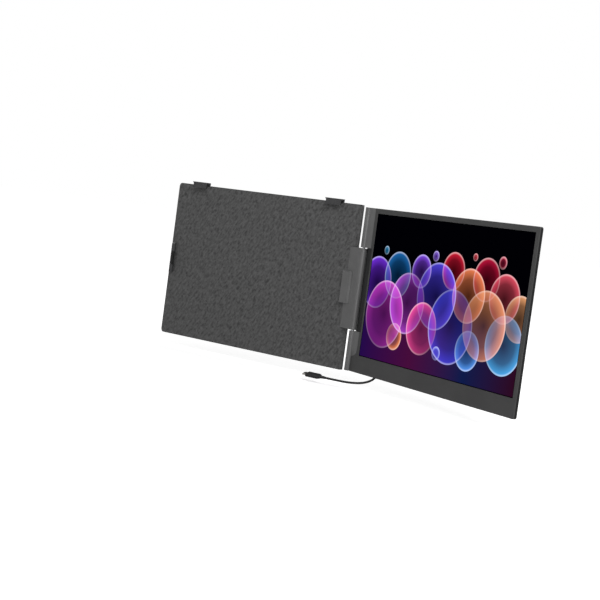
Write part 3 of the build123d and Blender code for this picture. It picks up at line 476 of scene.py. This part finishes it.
def makeClipSprings():
    # two side by side push the side clip, and one each the top clips; all lie at one depth
    low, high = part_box("left_clip_springs")
    width = high.y - low.y
    middle = (low.y + high.y) / 2
    springs = [
        makeSpring(
            name, "left_clip_springs", (low.x, middle, level), (1, 0, 0), high.x - low.x, width,
        )
        for name, level in (
            ("leftSpringLower", low.z + width / 2), ("leftSpringUpper", high.z - width / 2),
        )
    ]
    for side in ("left", "right"):
        node = "top_" + side + "_clip_spring"
        low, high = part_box(node)
        springs.append(makeSpring(
            "top" + side.capitalize() + "Spring", node, ((low.x + high.x) / 2, middle, high.z),
            (0, 0, -1), high.z - low.z, width,
        ))
    return springs


clipSprings = makeClipSprings()
print("clip springs wound")


# ---- materials ----

bevelSamples = 6  # rays that find an edge to round


def colour(code):
    # sRGB hex to linear: c / 12.92 up to 0.04045, else ((c + 0.055) / 1.055)^2.4
    parts = [int(code[place:place + 2], 16) / 255 for place in (1, 3, 5)]
    linear = [c / 12.92 if c <= 0.04045 else ((c + 0.055) / 1.055) ** 2.4 for c in parts]
    return (*linear, 1.0)


def addNode(tree, kind, settings=None, values=None, links=None, stops=None):
    # settings are the node's options, values go to its sockets, links feed sockets from
    # another node's output, and stops are the places and colours of a ramp: its two ends
    # first, and then those between
    node = tree.nodes.new(kind)
    for key, value in (settings or {}).items():
        setattr(node, key, value)
    for socket, value in (values or {}).items():
        node.inputs[socket].default_value = value
    for socket, source in (links or {}).items():
        tree.links.new(source, node.inputs[socket])
    for number, (position, tone) in enumerate(stops or []):
        elements = node.color_ramp.elements
        element = elements[number] if number < 2 else elements.new(position)
        element.position, element.color = position, tone
    return node


def newMaterial(name, values):
    material = bpy.data.materials.new(name)
    material.use_nodes = True
    shader = material.node_tree.nodes["Principled BSDF"]
    for socket, value in values.items():
        shader.inputs[socket].default_value = value
    return material, material.node_tree, shader


def addRelief(tree, shader, look, height):
    # edges turned over a small radius and, on them, the height as fine bumps; gives back
    # the rounded normal
    turned = addNode(tree, "ShaderNodeBevel", {"samples": bevelSamples}, {
        "Radius": look["edge"] * millimetre,
    }).outputs["Normal"]
    relief = addNode(tree, "ShaderNodeBump", {}, {"Distance": look["bump"] * millimetre}, {
        "Height": height, "Normal": turned,
    }).outputs["Normal"]
    tree.links.new(relief, shader.inputs["Normal"])
    return turned


finishSettings = {
    "cloudRange": (0.35, 0.65),  # of the noise, from all dark to all light
    "cloudDetail": 3.0, "grainDetail": 1.5,
    "edgeRange": (0.99, 0.8),  # cosine of the rounded normal's lean, from no edge to all edge
    "roughSpread": 0.05,
}


def finishSurface(tree, shader, look):
    # Colour: two near tones in clouds some millimetres wide, and a third, lighter one on the
    # edges, found where the rounded normal leaves the flat one: edge wear, and a painted
    # highlight where edges catch the light. Roughness follows the clouds. Relief: fine grains on
    # edges that are turned over a small radius.
    points = addNode(tree, "ShaderNodeTexCoord").outputs["Object"]
    if "stretch" in look:
        points = addNode(tree, "ShaderNodeMapping", {}, {"Scale": look["stretch"]}, {
            "Vector": points,
        }).outputs["Vector"]
    clouds = addNode(tree, "ShaderNodeTexNoise", {}, {
        "Scale": 1 / (look["clouds"] * millimetre), "Detail": finishSettings["cloudDetail"],
    }, {"Vector": points}).outputs["Fac"]
    allDark, allLight = finishSettings["cloudRange"]
    share = addNode(tree, "ShaderNodeMapRange", {}, {"From Min": allDark, "From Max": allLight}, {
        "Value": clouds,
    }).outputs["Result"]
    toned = addNode(tree, "ShaderNodeMix", {"data_type": "RGBA"}, {
        6: colour(look["dark"]), 7: colour(look["light"]),
    }, {0: share}).outputs[2]
    grains = addNode(tree, "ShaderNodeTexNoise", {}, {
        "Scale": 1 / (look["grain"] * millimetre), "Detail": finishSettings["grainDetail"],
    }, {"Vector": points}).outputs["Fac"]
    turned = addRelief(tree, shader, look, grains)
    flat = addNode(tree, "ShaderNodeNewGeometry").outputs["Normal"]
    slant = addNode(tree, "ShaderNodeVectorMath", {"operation": "DOT_PRODUCT"}, {}, {
        0: turned, 1: flat,
    }).outputs["Value"]
    # the edge mask: edges take a lighter tone, as wear and as a painted highlight where they
    # catch the light
    noEdge, allEdge = finishSettings["edgeRange"]
    wearAndSheenMask = addNode(tree, "ShaderNodeMapRange", {}, {
        "From Min": noEdge, "From Max": allEdge, "To Max": look["wearSheenShare"],
    }, {"Value": slant}).outputs["Result"]
    edgeWearAndSheen = addNode(tree, "ShaderNodeMix", {"data_type": "RGBA"}, {7: colour(look["edgeWearAndSheen"])}, {
        0: wearAndSheenMask, 6: toned,
    }).outputs[2]
    tree.links.new(edgeWearAndSheen, shader.inputs["Base Color"])
    spread = finishSettings["roughSpread"]
    rough = addNode(tree, "ShaderNodeMapRange", {}, {
        "To Min": look["roughness"] - spread, "To Max": look["roughness"] + spread,
    }, {"Value": clouds}).outputs["Result"]
    tree.links.new(rough, shader.inputs["Roughness"])


# ABS and nylon from spark-eroded moulds: a dull, even skin of grains a third of a millimetre
# wide, drawn a little coarser so that they show, faint clouds where the melt cooled, and
# edges a shade lighter, polished by hands and with a painted highlight on them
mouldings = {
    "abs_tray": {
        "dark": "#3b3b3c", "light": "#414142", "edgeWearAndSheen": "#5a5a5b", "wearSheenShare": 0.6,
        "roughness": 0.55, "clouds": 30.0, "grain": 0.5, "bump": 0.05, "edge": 0.3,
    },
    "abs_screen_bezel": {
        "dark": "#363636", "light": "#3b3b3b", "edgeWearAndSheen": "#585858", "wearSheenShare": 0.6,
        "roughness": 0.5, "clouds": 40.0, "grain": 0.45, "bump": 0.03, "edge": 0.35,
    },
    "abs_rear_shell": {
        "dark": "#0d0d0e", "light": "#121213", "edgeWearAndSheen": "#232324", "wearSheenShare": 0.6,
        "roughness": 0.55, "clouds": 50.0, "grain": 0.6, "bump": 0.06, "edge": 0.4,
    },
    "nylon_clips": {
        "dark": "#343435", "light": "#3c3c3d", "edgeWearAndSheen": "#575758", "wearSheenShare": 0.6,
        "roughness": 0.48, "clouds": 15.0, "grain": 0.4, "bump": 0.03, "edge": 0.35,
    },
    "abs_keys": {
        "dark": "#242425", "light": "#29292a", "edgeWearAndSheen": "#454546", "wearSheenShare": 0.7,
        "roughness": 0.4, "clouds": 10.0, "grain": 0.3, "bump": 0.01, "edge": 0.3,
    },
}


def mouldedPlastic(name):
    material, tree, shader = newMaterial(name, {"IOR": 1.53, "Specular IOR Level": 0.2})
    finishSurface(tree, shader, mouldings[name])
    return material


# silicone and thermoplastic rubber, moulded: deep black with a faint bloom, hardly any gloss, and
# on the silicone and the grips edges a shade lighter, worn and with a painted highlight
rubbers = {
    "silicone_rubber": {
        "dark": "#131313", "light": "#1a1a1a", "edgeWearAndSheen": "#242424", "wearSheenShare": 0.5,
        "roughness": 0.7, "clouds": 5.0, "grain": 0.35, "bump": 0.03, "edge": 0.3,
    },
    "tpe_lead_jacket": {
        "dark": "#171717", "light": "#1e1e1e", "edgeWearAndSheen": "#1e1e1e", "wearSheenShare": 0.0,
        "roughness": 0.55, "clouds": 8.0, "grain": 0.35, "bump": 0.02, "edge": 0.05,
    },
    "tpe_plug_grip": {
        "dark": "#1f1f1f", "light": "#262626", "edgeWearAndSheen": "#333333", "wearSheenShare": 0.5,
        "roughness": 0.5, "clouds": 4.0, "grain": 0.35, "bump": 0.02, "edge": 0.1,
    },
}


def mouldedRubber(name):
    material, tree, shader = newMaterial(name, {"IOR": 1.43, "Specular IOR Level": 0.25})
    finishSurface(tree, shader, rubbers[name])
    return material


# steel and aluminium, turned, ground or stamped, then blackened, plated or anodised: a sheen
# broken by tool marks, which stretch along the way that the tool went; edges a shade lighter,
# worn and with a painted highlight
metals = {
    "blackened_steel_screws": {
        "dark": "#2c2c2e", "light": "#3c3c3f", "edgeWearAndSheen": "#6d6d70", "wearSheenShare": 0.5,
        "roughness": 0.34, "clouds": 0.8, "grain": 0.5, "bump": 0.01, "edge": 0.12,
    },
    "ground_steel_shafts": {
        "dark": "#8d8f92", "light": "#a9abae", "edgeWearAndSheen": "#c4c6c9", "wearSheenShare": 0.5,
        "roughness": 0.28, "clouds": 2.0, "grain": 1.2, "bump": 0.01, "edge": 0.15,
        "stretch": (1, 1, 14),
    },
    "spring_steel": {
        "dark": "#7d7f83", "light": "#9c9ea2", "edgeWearAndSheen": "#b4b6ba", "wearSheenShare": 0.4,
        "roughness": 0.3, "clouds": 0.8, "grain": 0.5, "bump": 0.01, "edge": 0.1,
    },
    "nickel_plated_ports": {
        "dark": "#b9b6b0", "light": "#d2cfc9", "edgeWearAndSheen": "#e2e0da", "wearSheenShare": 0.4,
        "roughness": 0.24, "clouds": 1.5, "grain": 0.8, "bump": 0.005, "edge": 0.1,
    },
    "anodised_aluminium_stand": {
        "dark": "#3a3a3d", "light": "#47474b", "edgeWearAndSheen": "#8a8a8e", "wearSheenShare": 0.6,
        "roughness": 0.42, "clouds": 0.8, "grain": 0.35, "bump": 0.015, "edge": 0.35,
        "stretch": (0.05, 1, 1),
    },
    "panel_frame_steel": {
        "dark": "#85878a", "light": "#a2a4a7", "edgeWearAndSheen": "#b9bbbe", "wearSheenShare": 0.4,
        "roughness": 0.4, "clouds": 3.0, "grain": 1.0, "bump": 0.01, "edge": 0.2,
    },
}


def finishedMetal(name):
    material, tree, shader = newMaterial(name, {"Metallic": 1.0})
    finishSurface(tree, shader, metals[name])
    return material


# edges a shade lighter: worn paint, and a painted highlight where they catch the light
zincSettings = {
    "dark": "#525252", "light": "#585858", "edgeWearAndSheen": "#707070", "wearSheenShare": 0.5,
    "roughness": 0.34, "clouds": 25.0, "grain": 1.6, "bump": 0.02, "edge": 0.5,
}


def paintedZinc(look):
    # die-cast zinc under satin grey paint: smooth, with a slight orange peel and a clear skin
    material, tree, shader = newMaterial("painted_zinc_arm", {
        "IOR": 1.5, "Specular IOR Level": 0.35, "Coat Weight": 0.06, "Coat Roughness": 0.3,
    })
    finishSurface(tree, shader, look)
    return material


liningSettings = {
    "dark": "#373737", "middle": "#494949", "light": "#585858",
    "blotch": 4.5, "streak": 3.4, "fibre": 0.6,  # millimetres
    "lean": 38.0,  # degrees from upright that the nap was brushed
    "bump": 0.12, "edge": 0.25,
}


def suedeLining(look):
    # suede-like polyurethane lining: a brushed nap that lies this way and that, so it shows
    # light blotches a few millimetres wide, slanting streaks and fibres; no gloss at all
    material, tree, shader = newMaterial("suede_lining", {
        "Roughness": 0.9, "Specular IOR Level": 0.12, "Sheen Weight": 0.12,
        "Sheen Roughness": 0.5,
    })
    points = addNode(tree, "ShaderNodeTexCoord").outputs["Object"]
    leaning = addNode(tree, "ShaderNodeMapping", {"vector_type": "TEXTURE"}, {
        "Rotation": (0, math.radians(look["lean"]), 0), "Scale": (1.0, 1.0, 2.6),
    }, {"Vector": points}).outputs["Vector"]
    blotches = addNode(tree, "ShaderNodeTexNoise", {}, {
        "Scale": 1 / (look["blotch"] * millimetre), "Detail": 4.0, "Roughness": 0.6,
        "Distortion": 0.6,
    }, {"Vector": points}).outputs["Fac"]
    streaks = addNode(tree, "ShaderNodeTexNoise", {}, {
        "Scale": 1 / (look["streak"] * millimetre), "Detail": 3.0, "Roughness": 0.55,
    }, {"Vector": leaning}).outputs["Fac"]
    nap = addNode(tree, "ShaderNodeMix", {"data_type": "FLOAT"}, {0: 0.5}, {
        2: blotches, 3: streaks,
    }).outputs[0]
    toned = addNode(tree, "ShaderNodeValToRGB", {}, {}, {0: nap}, [
        (0.38, colour(look["dark"])), (0.62, colour(look["light"])),
        (0.47, colour(look["middle"])),
    ]).outputs["Color"]
    tree.links.new(toned, shader.inputs["Base Color"])
    fibres = addNode(tree, "ShaderNodeTexNoise", {}, {
        "Scale": 1 / (look["fibre"] * millimetre), "Detail": 2.0,
    }, {"Vector": leaning}).outputs["Fac"]
    addRelief(tree, shader, look, fibres)
    return material


boardSettings = {
    "resist": "#0d2b1c", "copper": "#17492f", "pad": 5.0, "bump": 0.04, "edge": 0.1,
}


def solderResist(look):
    # glass-fibre board under green solder resist, with the copper's fields showing faintly
    material, tree, shader = newMaterial("solder_resist_board", {"Roughness": 0.35, "IOR": 1.5})
    points = addNode(tree, "ShaderNodeTexCoord").outputs["Object"]
    fields = addNode(tree, "ShaderNodeTexVoronoi", {"distance": "CHEBYCHEV"}, {
        "Scale": 1 / (look["pad"] * millimetre), "Randomness": 0.8,
    }, {"Vector": points}).outputs["Distance"]
    toned = addNode(tree, "ShaderNodeValToRGB", {}, {}, {0: fields}, [
        (0.2, colour(look["resist"])), (0.5, colour(look["copper"])),
    ]).outputs["Color"]
    tree.links.new(toned, shader.inputs["Base Color"])
    addRelief(tree, shader, look, fields)
    return material


plastics = {name: mouldedPlastic(name) for name in mouldings}
softs = {name: mouldedRubber(name) for name in rubbers}
steels = {name: finishedMetal(name) for name in metals}
zinc = paintedZinc(zincSettings)
lining = suedeLining(liningSettings)
board = solderResist(boardSettings)
print("finishes made")


# ---- display ----

pictureSettings = {
    # glassy discs of light: across and up from the display's middle and radius in
    # millimetres, colour, and the side that the light falls from in degrees
    "discs": [
        (-152, 6, 35, "#7a35e8", 120), (-124, -34, 45, "#d63fd0", 60),
        (-104, 20, 31, "#1f6fb8", 100), (-74, -14, 40, "#c04be6", 200),
        (-50, 30, 22, "#8a4df0", 80), (-34, -42, 34, "#ff4f9c", 150),
        (-10, 2, 43, "#5a4bf5", 40), (20, 37, 24, "#e0203c", 90),
        (28, -32, 47, "#3b3fe0", 230), (58, 10, 34, "#ff8a58", 60),
        (90, 33, 27, "#c8163f", 110), (97, -22, 43, "#ffa070", 20),
        (130, 14, 30, "#f0556a", 70), (140, -40, 36, "#4ab8ff", 300),
        (163, -6, 28, "#ffb27a", 40), (70, -56, 25, "#58a0ff", 280),
        (-94, -60, 18, "#ff8f3a", 330), (-22, 52, 7, "#9a6bff", 60),
        (62, 58, 5, "#ff5060", 60), (-138, 50, 6, "#3aa0d8", 60),
        (118, 56, 8, "#e0305a", 60), (6, -68, 9, "#6a7bff", 60),
    ],
    "night": "#000003",
    "glow": [  # across the display, from 0 at the left to 1 at the right: the ends first
        (0.0, "#280c52"), (1.0, "#330b24"), (0.35, "#4e0f42"), (0.7, "#101f52"),
    ],
    "glowRise": (5.0, -60.0, 0.8),  # millimetres up where it starts and is full; how full
    # a disc's share of its colour in the middle, at a share of the way out and near its edge
    "core": 0.10, "body": 0.3, "bodyReach": 0.6, "skin": 0.8,
    "skinDepth": 3.0, "rimDepth": 1.1, "rimFade": 0.5,  # millimetres in from a disc's edge
    "shade": (0.2, 1.0),  # light on a disc's far side and on its near side
    "rimWhite": 0.35,  # how far the rims go towards white
    "border": 1.2,  # millimetres of black round the lit field
    "strength": 1.0,
}


def displayPicture(settings):
    # A lit panel behind smooth, coated glass. Picture = night + glow that grows towards the
    # lower edge, then a screen blend, 1 - (1 - a)(1 - b), with each disc. Disc = ramp(d / r)
    # times a shade that is linear in n.l, where d is the distance from its middle, n the way
    # there over r and l the light's side.
    material, tree, shader = newMaterial("lit_display", {
        "Base Color": colour("#010101"), "Roughness": 0.25, "IOR": 1.5,
        "Specular IOR Level": 0.0,
    })
    reach = (screenSettings["hingeBorder"] + screenSettings["width"] / 2) * millimetre
    middle = hingePlace + screenAlong * reach
    points = addNode(tree, "ShaderNodeTexCoord").outputs["Object"]
    local = addNode(tree, "ShaderNodeMapping", {"vector_type": "TEXTURE"}, {
        "Location": (middle.x, middle.y, screenSettings["middle"] * millimetre),
        "Rotation": (0, 0, -screenSwing), "Scale": (millimetre, millimetre, millimetre),
    }, {"Vector": points}).outputs["Vector"]
    flat = addNode(tree, "ShaderNodeVectorMath", {"operation": "MULTIPLY"}, {1: (1, 0, 1)}, {
        0: local,
    }).outputs["Vector"]
    places = addNode(tree, "ShaderNodeSeparateXYZ", {}, {}, {0: flat}).outputs
    halfWidth, halfHeight = screenSettings["width"] / 2, screenSettings["height"] / 2
    across = addNode(tree, "ShaderNodeMapRange", {}, {
        "From Min": -halfWidth, "From Max": halfWidth,
    }, {"Value": places["X"]}).outputs["Result"]
    start, full, most = settings["glowRise"]
    low = addNode(tree, "ShaderNodeMapRange", {"interpolation_type": "SMOOTHSTEP"}, {
        "From Min": start, "From Max": full, "To Max": most,
    }, {"Value": places["Z"]}).outputs["Result"]
    glow = addNode(tree, "ShaderNodeValToRGB", {}, {}, {0: across}, [
        (place, colour(code)) for place, code in settings["glow"]
    ]).outputs["Color"]
    picture = addNode(tree, "ShaderNodeMix", {"data_type": "RGBA"}, {
        6: colour(settings["night"]),
    }, {0: low, 7: glow}).outputs[2]
    for x, z, radius, code, side in settings["discs"]:
        tone = np.array(colour(code)[:3])
        rim = tone + (1 - tone) * settings["rimWhite"]
        light = (math.cos(math.radians(side)), 0, math.sin(math.radians(side)))
        way = addNode(tree, "ShaderNodeVectorMath", {"operation": "SUBTRACT"}, {
            1: (x, 0, z),
        }, {0: flat}).outputs["Vector"]
        share = addNode(tree, "ShaderNodeVectorMath", {"operation": "SCALE"}, {
            "Scale": 1 / radius,
        }, {0: way}).outputs["Vector"]
        ratio = addNode(tree, "ShaderNodeVectorMath", {"operation": "LENGTH"}, {}, {
            0: share,
        }).outputs["Value"]
        disc = addNode(tree, "ShaderNodeValToRGB", {}, {}, {0: ratio}, [
            (0.0, (*tone * settings["core"], 1)), (1.0, (0, 0, 0, 1)),
            (settings["bodyReach"], (*tone * settings["body"], 1)),
            (1 - settings["skinDepth"] / radius, (*tone * settings["skin"], 1)),
            (1 - settings["rimDepth"] / radius, (*rim, 1)),
            (1 - settings["rimFade"] / radius, (*rim, 1)),
        ]).outputs["Color"]
        facing = addNode(tree, "ShaderNodeVectorMath", {"operation": "DOT_PRODUCT"}, {
            1: light,
        }, {0: share}).outputs["Value"]
        level = addNode(tree, "ShaderNodeMapRange", {}, {
            "From Min": -1.0, "To Min": settings["shade"][0], "To Max": settings["shade"][1],
        }, {"Value": facing}).outputs["Result"]
        lit = addNode(tree, "ShaderNodeVectorMath", {"operation": "SCALE"}, {}, {
            0: disc, "Scale": level,
        }).outputs["Vector"]
        picture = addNode(tree, "ShaderNodeMix", {"data_type": "RGBA", "blend_type": "SCREEN"}, {
            0: 1.0,
        }, {6: picture, 7: lit}).outputs[2]
    # the border: 1 where |x| and |z| both lie inside the lit field
    inside = addNode(tree, "ShaderNodeVectorMath", {"operation": "ABSOLUTE"}, {}, {
        0: flat,
    }).outputs["Vector"]
    inside = addNode(tree, "ShaderNodeSeparateXYZ", {}, {}, {0: inside}).outputs
    for axis, half in (("X", halfWidth), ("Z", halfHeight)):
        kept = addNode(tree, "ShaderNodeMath", {"operation": "LESS_THAN"}, {
            1: half - settings["border"],
        }, {0: inside[axis]}).outputs["Value"]
        picture = addNode(tree, "ShaderNodeVectorMath", {"operation": "SCALE"}, {}, {
            0: picture, "Scale": kept,
        }).outputs["Vector"]
    tree.links.new(picture, shader.inputs["Emission Color"])
    shader.inputs["Emission Strength"].default_value = settings["strength"]
    return material


litDisplay = displayPicture(pictureSettings)
print("display drawn")


# ---- finishes on the pieces ----

finishes = [
    (plastics["abs_tray"], ["back_plate", "rear_cover"]),
    (lining, ["front_lining"]),
    (zinc, ["hinge_arm", "right_clip"]),
    (plastics["nylon_clips"], ["left_clip", "top_left_clip", "top_right_clip"]),
    (softs["silicone_rubber"], [
        "right_clip_pad", "left_clip_pad", "top_left_clip_pad", "top_right_clip_pad",
        "kickstand_foot",
    ]),
    (steels["blackened_steel_screws"], [
        "cover_screws", "arm_screws", "shell_screws", "hinge_screws", "board_screws",
    ]),
    (steels["ground_steel_shafts"], [
        "upper_hinge_shaft", "lower_hinge_shaft", "upper_friction_washers",
        "lower_friction_washers", "upper_hinge_nut", "lower_hinge_nut", "kickstand_pins",
        "upper_hinge_bracket", "lower_hinge_bracket",
    ]),
    (steels["anodised_aluminium_stand"], ["kickstand"]),
    (plastics["abs_screen_bezel"], ["screen_bezel"]),
    (plastics["abs_rear_shell"], ["rear_shell"]),
    (plastics["abs_keys"], ["power_key", "menu_key"]),
    (litDisplay, ["display_glass"]),
    (steels["panel_frame_steel"], ["lcd_panel"]),
    (board, ["main_board"]),
    (steels["nickel_plated_ports"], ["usb_c_sockets", "hdmi_socket"]),
    (softs["silicone_rubber"], ["key_switches", "left_speaker", "right_speaker"]),
]
madeFinishes = [
    (zinc, hingeCovers),
    (plastics["abs_screen_bezel"], bezelStrips),
    (steels["spring_steel"], clipSprings),
    (softs["tpe_lead_jacket"], [lead]),
    (softs["tpe_plug_grip"], screenPlug[:2] + laptopPlug[:2]),
    (steels["nickel_plated_ports"], screenPlug[2:] + laptopPlug[2:]),
]


def dress(piece, material):
    piece.data.materials.clear()
    piece.data.materials.append(material)


for material, names in finishes:
    for name in names:
        dress(nodes[name], material)
for material, pieces in madeFinishes:
    for piece in pieces:
        dress(piece, material)
print("pieces dressed")


# ---- studio ----

studioSettings = {
    "floorDrop": 6.0,  # millimetres below the lowest piece
    "floorReach": 30.0,  # metres
    "floorColour": "#f4f4f4",
    "floorLift": (0.5, 0.75),  # light that the camera alone sees, near the object and far off
    "liftReach": (0.5, 2.0),  # metres away where it starts to grow and is full
    "ambient": 0.36,  # light from all round on the object; white to the camera
    "lamps": [  # degrees round from the front and up, metres away, wide and high, watts
        ("keyLamp", 50, 34, 3.0, 1.0, 1.0, 46.0),
        ("stripLamp", 40, 3, 3.0, 0.3, 2.0, 30.0),
        ("rearLamp", 165, 38, 2.4, 1.4, 1.4, 24.0),
    ],
    "aim": (0.15, 0.0, 0.0),
}


def studioWorld(settings):
    # 1 for camera, glossy and transmission rays, the ambient level for the rest
    world = bpy.data.worlds.new("whiteStudio")
    bpy.context.scene.world = world
    world.use_nodes = True
    tree = world.node_tree
    background = tree.nodes["Background"]
    background.inputs["Color"].default_value = (1, 1, 1, 1)
    rays = addNode(tree, "ShaderNodeLightPath").outputs
    sharp = addNode(tree, "ShaderNodeMath", {"operation": "MAXIMUM"}, {}, {
        0: rays["Is Glossy Ray"], 1: rays["Is Transmission Ray"],
    }).outputs["Value"]
    seen = addNode(tree, "ShaderNodeMath", {"operation": "MAXIMUM"}, {}, {
        0: rays["Is Camera Ray"], 1: sharp,
    }).outputs["Value"]
    level = addNode(tree, "ShaderNodeMapRange", {}, {"To Min": settings["ambient"]}, {
        "Value": seen,
    }).outputs["Result"]
    tree.links.new(level, background.inputs["Strength"])


def paperFloor(settings):
    # Matt white paper. What the lamps leave grey far off is lifted to white for the camera,
    # and less so near the object, where its shadow falls.
    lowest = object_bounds()[0].z - settings["floorDrop"] * millimetre
    reach = settings["floorReach"]
    corners = [(-reach, -reach), (reach, -reach), (reach, reach), (-reach, reach)]
    mesh = bpy.data.meshes.new("floor")
    mesh.from_pydata([(x, y, lowest) for x, y in corners], [], [(0, 1, 2, 3)])
    floor = bpy.data.objects.new("floor", mesh)
    bpy.context.collection.objects.link(floor)
    floor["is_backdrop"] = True
    material, tree, shader = newMaterial("paper_floor", {
        "Base Color": colour(settings["floorColour"]), "Roughness": 0.9,
        "Specular IOR Level": 0.0, "Emission Color": (1, 1, 1, 1),
    })
    seen = addNode(tree, "ShaderNodeLightPath").outputs["Is Camera Ray"]
    points = addNode(tree, "ShaderNodeTexCoord").outputs["Object"]
    away = addNode(tree, "ShaderNodeVectorMath", {"operation": "LENGTH"}, {}, {
        0: points,
    }).outputs["Value"]
    (near, far), (start, end) = settings["floorLift"], settings["liftReach"]
    glow = addNode(tree, "ShaderNodeMapRange", {}, {
        "From Min": start, "From Max": end, "To Min": near, "To Max": far,
    }, {"Value": away}).outputs["Result"]
    lift = addNode(tree, "ShaderNodeMath", {"operation": "MULTIPLY"}, {}, {
        0: seen, 1: glow,
    }).outputs["Value"]
    tree.links.new(lift, shader.inputs["Emission Strength"])
    mesh.materials.append(material)


def hangLamps(settings):
    aim = Vector(settings["aim"])
    for name, bearing, up, away, wide, high, power in settings["lamps"]:
        turn, rise = math.radians(bearing), math.radians(up)
        way = Vector((
            math.sin(turn) * math.cos(rise), -math.cos(turn) * math.cos(rise), math.sin(rise)
        ))
        data = bpy.data.lights.new(name, "AREA")
        data.shape = "RECTANGLE"
        data.size, data.size_y = wide, high
        data.energy = power
        lamp = bpy.data.objects.new(name, data)
        lamp.location = aim + way * away
        lamp.rotation_euler = way.to_track_quat("Z", "Y").to_euler()
        bpy.context.collection.objects.link(lamp)


studioWorld(studioSettings)
paperFloor(studioSettings)
hangLamps(studioSettings)
print("studio lit")
